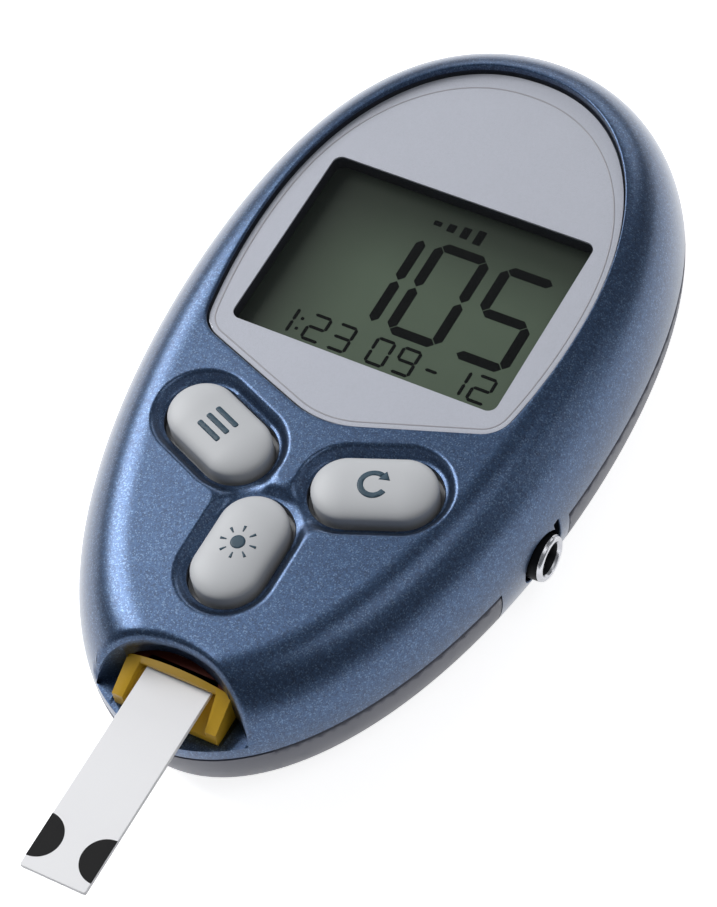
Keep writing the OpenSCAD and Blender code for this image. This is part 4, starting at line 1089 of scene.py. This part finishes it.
def smooth_side(name, title, finish_name):
    """A solid's copy whose outer face follows the true outline instead of flat steps."""
    near, longest, foot_rim = 0.09, 0.75, 0.2
    work = node_copy(name)

    def offset(points):
        return to_outline(points[:, :2], EGG_LOOP) - side_inset(points[:, 1], points[:, 2])

    for _ in range(5):
        co = np.array([v.co for v in work.verts]) / MM
        skin_on = np.abs(offset(co)) < near
        work.verts.index_update()
        too_long = [e for e in work.edges
                    if all(skin_on[v.index] for v in e.verts) and e.calc_length() > longest * MM]
        if not too_long:
            break
        bmesh.ops.subdivide_edges(work, edges=too_long, cuts=1)
        bmesh.ops.triangulate(work, faces=[f for f in work.faces if len(f.verts) > 3])
    work.verts.index_update()
    co = np.array([v.co for v in work.verts]) / MM
    off = offset(co)
    skin_on = (np.abs(off) < near) & (co[:, 2] > foot_rim)
    out = outwards(co)
    for v in work.verts:
        if skin_on[v.index]:
            v.co.x += out[v.index, 0] * off[v.index] * MM
            v.co.y += out[v.index, 1] * off[v.index] * MM
    mesh = bpy.data.meshes.new(title)
    work.to_mesh(mesh)
    work.free()
    piece = finish_mesh(mesh, title, finish(finish_name), 30)
    m = piece.modifiers.new("even_shade", "WEIGHTED_NORMAL")
    m.keep_sharp = True
    return apply_modifiers(piece)


def strip_guide():
    """The yellow guide, with its lip arched over the strip and its edges softened."""
    work = node_copy("strip_port_guide")
    bmesh.ops.dissolve_limit(work, angle_limit=math.radians(1), verts=work.verts, edges=work.edges)
    cuts = [((x * MM, 0, 0), (1, 0, 0)) for x in np.arange(-4.5, 4.6, 0.5)]
    cuts += [((0, y * MM, 0), (0, 1, 0)) for y in (LIP_STEP, LIP_BACK)]
    for place, way in cuts:
        geom = list(work.verts) + list(work.edges) + list(work.faces)
        bmesh.ops.bisect_plane(work, geom=geom, plane_co=place, plane_no=way, dist=1e-8)
    for v in work.verts:
        x, y, z = (c / MM for c in v.co)
        if z > LIP_LOW + 0.01:
            on_lip = y < LIP_STEP + 0.15
            arch = (float(lip_height(np.array(x))) - LIP_LOW) / LIP_RISE if on_lip else 1
            rise = z - LIP_LOW if on_lip else 0.12
            if abs(y - LIP_STEP) < 0.02:
                rise = 1.3
            v.co.z = (LIP_LOW + rise * arch) * MM
    # Faces behind the lip take the dark red-brown second finish: painted shade of the crevice between the lip
    # and the scoop wall.
    for f in work.faces:
        c = f.calc_center_median() / MM
        f.material_index = 1 if c.y > LIP_STEP + 0.02 and c.z > LIP_LOW + 0.02 else 0
    mesh = bpy.data.meshes.new("strip_guide")
    work.to_mesh(mesh)
    work.free()
    piece = finish_mesh(mesh, "strip_guide", finish("guide"), 40, finish("guide_shade"))
    m = piece.modifiers.new("soft_edges", "BEVEL")
    m.width = 0.09 * MM
    m.segments = 2
    m.limit_method = "ANGLE"
    m.angle_limit = math.radians(38)
    m.harden_normals = False
    return apply_modifiers(piece)


# ---- Lens and display ----

def lens_pane():
    """The clear lens with a polished edge."""
    skin = Skin()
    loop = grow(lens_outline(0.25), -0.12)
    b = mm("lens_bevel")
    low = skin.ring(loop, LENS_LOW)
    side = skin.ring(loop, LENS_TOP - b)
    mid = skin.ring(grow(loop, -b * 0.35), LENS_TOP - b * 0.35)
    top = skin.ring(grow(loop, -b), LENS_TOP)
    for a, c in ((low, side), (side, mid), (mid, top)):
        skin.band(a, c)
    skin.cap(top)
    skin.cap(low, False)
    return skin.object("lens_pane", finish("pane"), 25)


def mask_outline():
    """Outline of the silver mask, just inside the lens."""
    return spread(grow(lens_outline(0.25), -0.2), 0.25)


def border_line():
    """A fine line round the mask, wider of its edge at the head."""
    skin = Skin()
    loop = grow(lens_outline(0.25), -0.62)
    lines = []
    for d in (0.0, 0.13):
        line = grow(loop, -d)
        line[:, 1] -= mm("mask_head") * step_up((line[:, 1] - 12) / 19)
        lines.append(skin.ring(line, BORDER_Z))
    skin.band(lines[0], lines[1])
    piece = skin.object("mask_border", finish("border"), 30)
    return wall(piece, 0.004)


def mask_plate():
    """The silver mask behind the lens, with its window."""
    skin = Skin()
    outline, window = mask_outline(), rounded(0, WINDOW_Y, 25.3, 18.9, 0.85)
    top = skin.fill((outline, None), [(window, None)], np.empty((0, 2)),
                    lambda p: np.column_stack([p, np.full(len(p), MASK_TOP)]))
    low_out, low_in = skin.ring(outline, MASK_LOW), skin.ring(window, MASK_LOW)
    skin.band(low_out, top[0])
    skin.band(top[1], low_in)
    back = Skin()
    back.points = skin.points
    back.fill((outline, low_out), [(window, low_in)], np.empty((0, 2)), lambda p: p)
    skin.faces.extend(tuple(f)[::-1] for f in back.faces)
    return skin.object("mask_plate", finish("mask"), 30)


BARS = {
    "0": "abcdef", "1": "bc", "2": "abged", "3": "abgcd", "5": "afgcd", "9": "abcdfg", "-": "g",
}


def bar(p, q, stroke, cut=0.06):
    """A bar with pointed ends from p to q."""
    p, q = np.array(p, float), np.array(q, float)
    along = (q - p) / np.linalg.norm(q - p)
    across = np.array([-along[1], along[0]])
    h = stroke / 2
    p, q = p + along * cut, q - along * cut
    return np.array([p, p + along * h - across * h, q - along * h - across * h, q,
                     q - along * h + across * h, p + along * h + across * h])


def digit_bars(text, x, y, w, h, stroke):
    """The bars of one seven-bar digit in a box."""
    s = stroke / 2
    l, r, b, t, m = x + s, x + w - s, y + s, y + h - s, y + h / 2
    ends = {
        "a": ((l, t), (r, t)), "g": ((l, m), (r, m)), "d": ((l, b), (r, b)),
        "f": ((l, m), (l, t)), "b": ((r, m), (r, t)), "e": ((l, b), (l, m)), "c": ((r, b), (r, m)),
    }
    return [bar(*ends[k], stroke, stroke * 0.07) for k in BARS[text]]


def raised(skin, loop, low, high):
    """A thin flat mark over its outline."""
    loop = np.asarray(loop)
    area = np.sum(loop[:, 0] * np.roll(loop[:, 1], -1) - loop[:, 1] * np.roll(loop[:, 0], -1))
    loop = loop if area > 0 else loop[::-1]
    a, b = skin.ring(loop, low), skin.ring(loop, high)
    skin.band(a, b)
    skin.cap(b)
    skin.cap(a, False)


def display_marks():
    """Large and small plain digits and a few bars on the display."""
    skin = Skin()
    low, high = 13.182, 13.2
    dx, dy = -0.81, 1.01
    marks = []
    for text, x in (("1", -1.85 - 4.2), ("0", 0.1), ("5", 6.5)):
        marks += digit_bars(text, x + dx, 2.8 + dy, 5.3, 10.4, mm("digit_stroke"))
    small = mm("small_stroke")
    h, y = 2.9, -0.7 + dy
    for text, x, w in (("1", -9.2, 1.9), ("2", -6.1, 1.9), ("3", -3.6, 1.9), ("0", 0.1, 1.9),
                       ("9", 2.6, 1.9), ("-", 5.2, 1.5), ("1", 7.4, 1.9), ("2", 9.8, 1.9)):
        marks += digit_bars(text, x + dx, y, w, h, small)
    for k in (0.8, 1.9):
        marks.append(rounded(-6.75 + dx, y + k, small, small, small * 0.3))
    for i in range(4):
        marks.append(rounded(-0.9 + i * 1.35 + dx, 14.8 + dy, 0.75, 0.5 + 0.35 * i, 0.08))
    for loop in marks:
        raised(skin, loop, low, high)
    return skin.object("display_marks", finish("ink"), 30)


# ---- Buttons ----

KEY_EDGE, KEY_TOP = 15.1, 16.036


def dome(points, side):
    """Height of a button's top."""
    share = np.clip(1 + key_gap(points, side) / (KEY_W / 2), 0, 1)
    return KEY_EDGE + (KEY_TOP - KEY_EDGE) * np.sqrt(np.maximum(1 - share ** 2.15, 0))


def key_cap(side, title):
    """A button: a stepped flange, straight sides and a soft dome."""
    skin = Skin()
    profile = [(-0.9, 12.49), (0.84, 12.49), (0.88, 12.53), (0.88, 13.12), (0.84, 13.16), (0.02, 13.16)]
    profile += [(0, z) for z in (13.2, 14.0, 14.7, KEY_EDGE)]
    inner = [KEY_W / 2 * (1 - math.cos(math.radians(a))) for a in range(6, 90, 6)] + [2.96]
    loops = [skin.ring(capsule(side, grow_by), z) for grow_by, z in profile]
    for d in inner:
        loop = capsule(side, -d)
        loops.append(skin.add(np.column_stack([loop, dome(loop, side)])))
    for low, high in zip(loops, loops[1:]):
        skin.band(low, high)
    skin.cap(loops[-1])
    skin.cap(loops[0], False)
    # The stem that reaches the pill
    x, y = STEMS[side]
    stem = arc(x, y, 1.45, 0, 2 * np.pi, 33)[:-1]
    low, high = skin.ring(stem, 11.7), skin.ring(stem, 12.7)
    skin.band(low, high)
    skin.cap(high)
    skin.cap(low, False)
    return skin.object(title, finish("key"), 42)


def at_key(side, points):
    """Flat points of a mark, put on a button; the light button's mark stays upright."""
    x, y, turn, _ = KEYS[side]
    turn = 0 if side == 0 else turn
    c, s = math.cos(math.radians(turn)), math.sin(math.radians(turn))
    p = np.asarray(points)
    return np.stack([x + p[:, 0] * c - p[:, 1] * s, y + p[:, 0] * s + p[:, 1] * c], -1)


def key_collar(name):
    """The rubber web under a button."""
    work = node_copy(name + "_web")
    mesh = bpy.data.meshes.new(name + "_collar")
    work.to_mesh(mesh)
    work.free()
    piece = finish_mesh(mesh, name + "_collar", finish("rubber"), 30)
    settle(piece, "case", "keypad_rubber", name + "_web")
    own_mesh(piece)


def key_mark(side, loops, title):
    """A printed mark that lies on a button's dome."""
    skin = Skin()
    for outer, hole in loops:
        outer = spread(at_key(side, outer), 0.12)
        holes = [(spread(at_key(side, hole), 0.12), None)] if hole is not None else []
        lo, hi = outer.min(0), outer.max(0)

        def free(p):
            keep = inside(p, outer) & (to_outline(p, outer) > 0.08)
            for h in holes:
                keep &= ~inside(p, h[0]) & (to_outline(p, h[0]) > 0.08)
            return keep

        extra = dots(lo, hi, 0.25, free)
        lift = mm("mark_lift")
        skin.fill((outer, None), holes, extra, lambda p: np.column_stack([p, dome(p, side) + lift]))
    return wall(skin.object(title, finish("mark"), 30), mm("mark_lift") * 0.8)


def menu_bars():
    """Three level bars."""
    return [(rounded(0, k * 0.98, 2.7, 0.5, 0.16), None) for k in (-1, 0, 1)]


def return_arrow():
    """An open ring that ends in an arrow head."""
    r0, r1, a0, a1 = 0.84, 1.34, math.radians(52), math.radians(325)
    ring = np.vstack([arc(0, 0, r1, a0, a1, 40), arc(0, 0, r0, a1, a0, 40)])
    c = np.array([math.cos(a0), math.sin(a0)]) * (r0 + r1) / 2
    along = np.array([math.sin(a0), -math.cos(a0)])
    out = np.array([math.cos(a0), math.sin(a0)])
    head = np.array([c - out * 0.52, c + out * 0.52, c + along * 0.85])
    area = np.cross(head[1] - head[0], head[2] - head[0])
    return [(ring, None), (head if area > 0 else head[::-1], None)]


def sun():
    """A disc with eight wedge rays."""
    rays = []
    for i in range(8):
        a = i * math.pi / 4 + 0.1
        u, v = np.array([math.cos(a), math.sin(a)]), np.array([-math.sin(a), math.cos(a)])
        near, far = u * 1.02, u * 1.6
        rays.append((np.array([near - v * 0.05, far - v * 0.13, far + v * 0.13, near + v * 0.05]), None))
    return [(arc(0, 0, 0.64, 0, 2 * np.pi, 41)[:-1], None)] + rays


# ---- Strip and jack ----

def strip_plate():
    """The test strip: a laminated plate with softened corners."""
    skin = Skin()
    outline = rounded(0, -36.5, 6.1, 31, 0.18, 6)
    base = [(-0.03, 10.8), (0, 10.83), (0, 10.99), (-0.015, 11.0), (0, 11.01), (0, 11.165), (-0.035, 11.2)]
    loops = [skin.ring(grow(outline, d), z) for d, z in base]
    for low, high in zip(loops, loops[1:]):
        skin.band(low, high)
    skin.cap(loops[-1])
    skin.cap(loops[0], False)
    return skin.object("strip_plate", finish("strip"), 30)


def strip_marks():
    """Half discs printed on both edges of the strip near its tip."""
    skin = Skin()
    for k in (-1, 1):
        a0 = -np.pi / 2 if k < 0 else np.pi / 2
        disc = arc(k * 3.04, -49, 2.05, a0, a0 + np.pi, 40)
        raised(skin, disc, 11.19, 11.207)
    return skin.object("strip_marks", finish("strip_print"), 30)


def jack_ring_piece():
    """The jack's plated ring, turned about its own axis."""
    skin = Skin()
    x0, x1, bore, outside = 15.98, 20.4, 1.3, 2.1
    profile = [(x0, bore), (x1 - 0.7, bore)]
    profile += [(x1 - back, r) for back, r in (
        (0.3, 1.48), (0.1, 1.58), (0.02, 1.68), (0, 1.78),
        (0.02, 1.88), (0.1, 1.98), (0.22, 2.04), (0.34, 2.06),
    )]
    profile += [(x1 - 0.38, outside), (x0, outside)]
    a = np.linspace(0, 2 * np.pi, 97)[:-1]
    loops = []
    for x, r in profile:
        flat = [np.full(len(a), x), JACK_Y + r * np.cos(a), JACK_Z + r * np.sin(a)]
        loops.append(skin.add(np.column_stack(flat)))
    for low, high in zip(loops, loops[1:] + loops[:1]):
        start_face = len(skin.faces)
        skin.band(high, low)
        # The bore and the ring's outer side take the near-black second finish: painted shade.
        if any(low is loops[k] for k in (0, 1, -2)):
            skin.shaded(start_face)
    return skin.object("jack_ring_turned", finish("chrome"), 40, finish("depth"))


# ---- Screws, as a node tree ----

def screw_tree():
    """A tree that puts a cross-recessed screw on each point it is given."""
    tree = bpy.data.node_groups.new("screw_row", "GeometryNodeTree")
    tree.interface.new_socket("Places", in_out="INPUT", socket_type="NodeSocketGeometry")
    for name, value in (("Head radius", 1.4), ("Head height", 0.9), ("Shank radius", 0.8),
                        ("Shank length", 8.5), ("Cross width", 0.4), ("Cross length", 1.8),
                        ("Cross depth", 0.4), ("Thread pitch", 0.5)):
        socket = tree.interface.new_socket(name, in_out="INPUT", socket_type="NodeSocketFloat")
        socket.default_value = value * MM
        socket.subtype = "DISTANCE"
    tree.interface.new_socket("Finish", in_out="INPUT", socket_type="NodeSocketMaterial")
    tree.interface.new_socket("Screws", in_out="OUTPUT", socket_type="NodeSocketGeometry")
    nodes, links = tree.nodes, tree.links
    given = nodes.new("NodeGroupInput")
    last = nodes.new("NodeGroupOutput")

    def add(kind, settings=None, values=None):
        made = nodes.new(kind)
        for key, value in (settings or {}).items():
            setattr(made, key, value)
        for key, value in (values or {}).items():
            if isinstance(value, bpy.types.NodeSocket):
                links.new(value, made.inputs[key])
            else:
                made.inputs[key].default_value = value
        return made

    def times(a, b):
        return add("ShaderNodeMath", {"operation": "MULTIPLY"}, {0: a, 1: b}).outputs[0]

    def vector(x=0.0, y=0.0, z=0.0):
        return add("ShaderNodeCombineXYZ", {}, {"X": x, "Y": y, "Z": z}).outputs[0]

    put = given.outputs
    head = add("GeometryNodeMeshCylinder", {}, {"Vertices": 40, "Side Segments": 1,
               "Radius": put["Head radius"], "Depth": put["Head height"]})
    head_at = add("GeometryNodeTransform", {}, {"Geometry": head.outputs["Mesh"],
                  "Translation": vector(z=times(put["Head height"], 0.5))})
    arms = []
    for turned in (0, 1):
        size = vector(put["Cross width"] if turned else put["Cross length"],
                      put["Cross length"] if turned else put["Cross width"], times(put["Cross depth"], 2.0))
        arms.append(add("GeometryNodeMeshCube", {}, {"Size": size}).outputs["Mesh"])
    cross = add("GeometryNodeMeshBoolean", {"operation": "DIFFERENCE", "solver": "EXACT"},
                {"Mesh 1": head_at.outputs["Geometry"]})
    for arm in arms:
        links.new(arm, cross.inputs["Mesh 2"])
    turns = add("GeometryNodeCurveSpiral", {}, {"Resolution": 24, "Rotations": 15.0,
                "Start Radius": put["Shank radius"], "End Radius": put["Shank radius"],
                "Height": put["Shank length"]})
    thin = add("GeometryNodeCurvePrimitiveCircle", {}, {"Resolution": 6, "Radius": 0.09 * MM})
    even = add("GeometryNodeSetCurveRadius", {}, {"Curve": turns.outputs[0], "Radius": 1.0})
    thread = add("GeometryNodeCurveToMesh", {}, {"Curve": even.outputs[0], "Profile Curve": thin.outputs[0],
                 "Fill Caps": True})
    shank = add("GeometryNodeMeshCylinder", {}, {"Vertices": 24, "Radius": times(put["Shank radius"], 0.86),
                "Depth": put["Shank length"]})
    shank_at = add("GeometryNodeTransform", {}, {"Geometry": shank.outputs["Mesh"],
                   "Translation": vector(z=times(put["Shank length"], 0.5))})
    body = add("GeometryNodeJoinGeometry")
    links.new(shank_at.outputs["Geometry"], body.inputs[0])
    links.new(thread.outputs[0], body.inputs[0])
    raised_body = add("GeometryNodeTransform", {}, {"Geometry": body.outputs[0],
                      "Translation": vector(z=put["Head height"]), "Scale": (0.9, 0.9, 0.99)})
    whole = add("GeometryNodeJoinGeometry")
    links.new(cross.outputs[0], whole.inputs[0])
    links.new(raised_body.outputs["Geometry"], whole.inputs[0])
    set_out = add("GeometryNodeInstanceOnPoints", {}, {"Points": put["Places"], "Instance": whole.outputs[0]})
    real = add("GeometryNodeRealizeInstances", {}, {0: set_out.outputs[0]})
    dressed = add("GeometryNodeSetMaterial", {}, {"Geometry": real.outputs[0], "Material": put["Finish"]})
    links.new(dressed.outputs[0], last.inputs[0])
    return tree


def screws():
    """The four case screws, set in from below."""
    lo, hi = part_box("case_screws")
    centres = []
    data = np.array([v.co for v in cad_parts["case_screws"].data.vertices])[:, :2] / MM
    for x, y in ((15.99, 13.5), (9.2, -24.0)):
        for k in (1, -1):
            near = data[(np.abs(data - (k * x, y)) < 2).all(1)]
            centres.append((near.min(0) + near.max(0)) / 2)
    mesh = bpy.data.meshes.new("screw_places")
    mesh.from_pydata([(x * MM, y * MM, lo.z) for x, y in centres], [], [])
    piece = bpy.data.objects.new("screws", mesh)
    bpy.context.scene.collection.objects.link(piece)
    tree = screw_tree()
    modifier = piece.modifiers.new("screws", "NODES")
    modifier.node_group = tree
    names = {s.name: s.identifier for s in tree.interface.items_tree if s.in_out == "INPUT"}
    modifier[names["Cross width"]] = sizes().screw_cross
    modifier[names["Shank length"]] = (hi.z - lo.z) - 0.9 * MM
    modifier[names["Finish"]] = finish("screw")
    apply_modifiers(piece)
    piece.data.polygons.foreach_set("use_smooth", [True] * len(piece.data.polygons))
    piece.data.set_sharp_from_angle(angle=math.radians(35))
    return piece


# ---- Operators ----

class MeterOperator:
    bl_options = {"REGISTER", "UNDO"}


class METER_OT_camera(MeterOperator, bpy.types.Operator):
    """Set the camera where the photograph was taken from"""
    bl_idname = "meter.camera"
    bl_label = "Camera"

    def execute(self, context):
        azimuth, height, roll = (math.radians(v) for v in (39.3763, 54.7720, -12.7629))
        aim, distance = Vector((0.00195307, -0.00607702, 0.0096)), 0.301996
        focus, tall, sensor = 3603.504, 907, 36    # pixels, pixels and millimetres
        level = math.cos(height)
        back = Vector((math.sin(azimuth) * level, -math.cos(azimuth) * level, math.sin(height)))
        x = Vector((0, 0, 1)).cross(back).normalized()
        y = back.cross(x)
        right = x * math.cos(roll) + y * math.sin(roll)
        up = -x * math.sin(roll) + y * math.cos(roll)
        camera = bpy.data.objects.new("camera", bpy.data.cameras.new("camera"))
        context.scene.collection.objects.link(camera)
        place = Matrix((right, up, back)).transposed().to_4x4()
        place.translation = aim + back * distance
        camera.matrix_world = place
        camera.data.sensor_width = sensor
        camera.data.sensor_fit = "AUTO"
        camera.data.lens = focus * sensor / tall
        camera.data.clip_start = 0.01
        context.scene.camera = camera
        return {"FINISHED"}


class METER_OT_case_top(MeterOperator, bpy.types.Operator):
    """Build the blue upper half of the case"""
    bl_idname = "meter.case_top"
    bl_label = "Upper case"

    def execute(self, context):
        settle(case_top(), "case", "case_blue", "upper_case")
        return {"FINISHED"}


class METER_OT_case_base(MeterOperator, bpy.types.Operator):
    """Build the grey lower half of the case and its battery door"""
    bl_idname = "meter.case_base"
    bl_label = "Lower case and door"

    def execute(self, context):
        settle(smooth_side("lower_case", "case_base", "base"), "case", "case_grey", "lower_case")
        settle(smooth_side("battery_door", "door_plate", "base"), "door", "case_grey", "battery_door")
        return {"FINISHED"}


class METER_OT_display(MeterOperator, bpy.types.Operator):
    """Build the lens, its mask and the marks on the display"""
    bl_idname = "meter.display"
    bl_label = "Lens and display"

    def execute(self, context):
        settle(lens_pane(), "case", "lens_clear", "display_lens")
        settle(mask_plate(), "case", "mask_grey", "lens_mask")
        settle(border_line(), "case", "mask_grey")
        settle(display_marks(), "case", "frame_black")
        return {"FINISHED"}


class METER_OT_buttons(MeterOperator, bpy.types.Operator):
    """Build the three buttons, the marks on them and the rubber webs under them"""
    bl_idname = "meter.buttons"
    bl_label = "Buttons"

    def execute(self, context):
        marks = {-1: menu_bars(), 1: return_arrow(), 0: sun()}
        for side, name in ((-1, "menu"), (1, "select"), (0, "light")):
            settle(key_cap(side, name + "_cap"), name + "_key", "key_grey", name + "_button")
            settle(key_mark(side, marks[side], name + "_mark"), name + "_key", "key_grey")
            key_collar(name)
        return {"FINISHED"}


class METER_OT_strip(MeterOperator, bpy.types.Operator):
    """Build the strip guide and the test strip"""
    bl_idname = "meter.strip"
    bl_label = "Strip port and strip"

    def execute(self, context):
        settle(strip_guide(), "case", "guide_yellow", "strip_port_guide")
        settle(strip_plate(), "strip", "strip_white", "test_strip")
        settle(strip_marks(), "strip", "strip_white")
        return {"FINISHED"}


class METER_OT_jack(MeterOperator, bpy.types.Operator):
    """Build the plated ring of the data jack"""
    bl_idname = "meter.jack"
    bl_label = "Data jack"

    def execute(self, context):
        settle(jack_ring_piece(), "case", "ring_chrome", "jack_ring")
        return {"FINISHED"}


class METER_OT_screws(MeterOperator, bpy.types.Operator):
    """Build the four case screws"""
    bl_idname = "meter.screws"
    bl_label = "Screws"

    def execute(self, context):
        settle(screws(), "case", "screw_steel", "case_screws")
        return {"FINISHED"}


class METER_OT_inside(MeterOperator, bpy.types.Operator):
    """Give the solids that stay in view their finishes"""
    bl_idname = "meter.inside"
    bl_label = "Inner parts"

    def execute(self, context):
        for name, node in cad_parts.items():
            if name in NODE_FINISHES:
                node.data.materials.clear()
                node.data.materials.append(finish(NODE_FINISHES[name]))
        return {"FINISHED"}


class METER_OT_stage(MeterOperator, bpy.types.Operator):
    """Set out the pale floor and the soft lamps"""
    bl_idname = "meter.stage"
    bl_label = "Floor and light"

    def execute(self, context):
        mesh = bpy.data.meshes.new("floor")
        r, low = 1.5, -2e-5
        mesh.from_pydata([(-r, -r, low), (r, -r, low), (r, r, low), (-r, r, low)], [], [(0, 1, 2, 3)])
        floor = bpy.data.objects.new("floor", mesh)
        context.scene.collection.objects.link(floor)
        f = Finish("floor_white", {"Roughness": 0.9, "Specular IOR Level": 0.1})
        f.feed(Base_Color=f.blend((0.76, 0.76, 0.77), (0.79, 0.79, 0.8), f.noise(40, 2.0)))
        seen = f.node("ShaderNodeLightPath").socket.node.outputs
        camera = Wire(f, seen["Is Camera Ray"])
        glossy = Wire(f, seen["Is Glossy Ray"])
        through = Wire(f, seen["Is Transmission Ray"])
        glow = f.node("ShaderNodeEmission", {}, {"Color": (1, 1, 1, 1), "Strength": 0.8})
        dark = f.node("ShaderNodeEmission", {}, {"Color": (0, 0, 0, 1), "Strength": 0.0})
        extra = f.node("ShaderNodeMixShader", {}, {0: camera + glossy + through, 1: dark, 2: glow})
        total = f.node("ShaderNodeAddShader", {}, {0: Wire(f, f.shader.outputs[0]), 1: extra})
        f.tree.links.new(total.socket, f.tree.nodes["Material Output"].inputs["Surface"])
        mesh.materials.append(f.material)
        world = bpy.data.worlds.new("studio")
        context.scene.world = world
        world.use_nodes = True
        back = world.node_tree.nodes["Background"]
        back.inputs["Color"].default_value = (0.92, 0.95, 1.0, 1)
        back.inputs["Strength"].default_value = 0.2
        aim = Vector((0, -0.005, 0.008))
        for name, place, size, power in (
            ("lamp_left", (-0.454, 0.072, 0.428), (0.42, 0.40), 3.8),
            ("lamp_right", (0.42, 0.20, 0.15), (0.12, 0.28), 0.12),
            ("lamp_top", (0.34, 0.03, 0.56), (0.30, 0.30), 0.45),
            ("lamp_back", (-0.10, 0.58, 0.30), (0.60, 0.24), 0.8),
        ):
            data = bpy.data.lights.new(name, "AREA")
            data.shape = "RECTANGLE"
            data.size, data.size_y = size
            data.energy = power
            lamp = bpy.data.objects.new(name, data)
            place = Vector(place)
            facing = (aim - place).to_track_quat("-Z", "Y").to_matrix().to_4x4()
            lamp.matrix_world = Matrix.Translation(place) @ facing
            context.scene.collection.objects.link(lamp)
        context.scene.view_settings.view_transform = "Standard"
        return {"FINISHED"}


class METER_PT_panel(bpy.types.Panel):
    """Lists the meter's pieces"""
    bl_idname = "METER_PT_panel"
    bl_label = "Glucose meter"
    bl_space_type = "VIEW_3D"
    bl_region_type = "UI"
    bl_category = "Meter"

    def draw(self, context):
        for operator in OPERATORS:
            self.layout.operator(operator.bl_idname)
        for group in (context.scene.meter_sizes, context.scene.meter_colours):
            for name in group.__annotations__:
                self.layout.prop(group, name)


OPERATORS = (
    METER_OT_camera, METER_OT_case_top, METER_OT_case_base, METER_OT_display, METER_OT_buttons,
    METER_OT_strip, METER_OT_jack, METER_OT_screws, METER_OT_inside, METER_OT_stage,
)
CLASSES = (MeterSizes, MeterColours) + OPERATORS + (METER_PT_panel,)


def register():
    for item in CLASSES:
        bpy.utils.register_class(item)
    bpy.types.Scene.meter_sizes = PointerProperty(type=MeterSizes)
    bpy.types.Scene.meter_colours = PointerProperty(type=MeterColours)


def unregister():
    del bpy.types.Scene.meter_colours
    del bpy.types.Scene.meter_sizes
    for item in reversed(CLASSES):
        bpy.utils.unregister_class(item)


def main():
    register()
    for operator in OPERATORS:
        group, name = operator.bl_idname.split(".")
        getattr(getattr(bpy.ops, group), name)()
    bpy.context.view_layer.update()


if __name__ == "__main__":
    main()
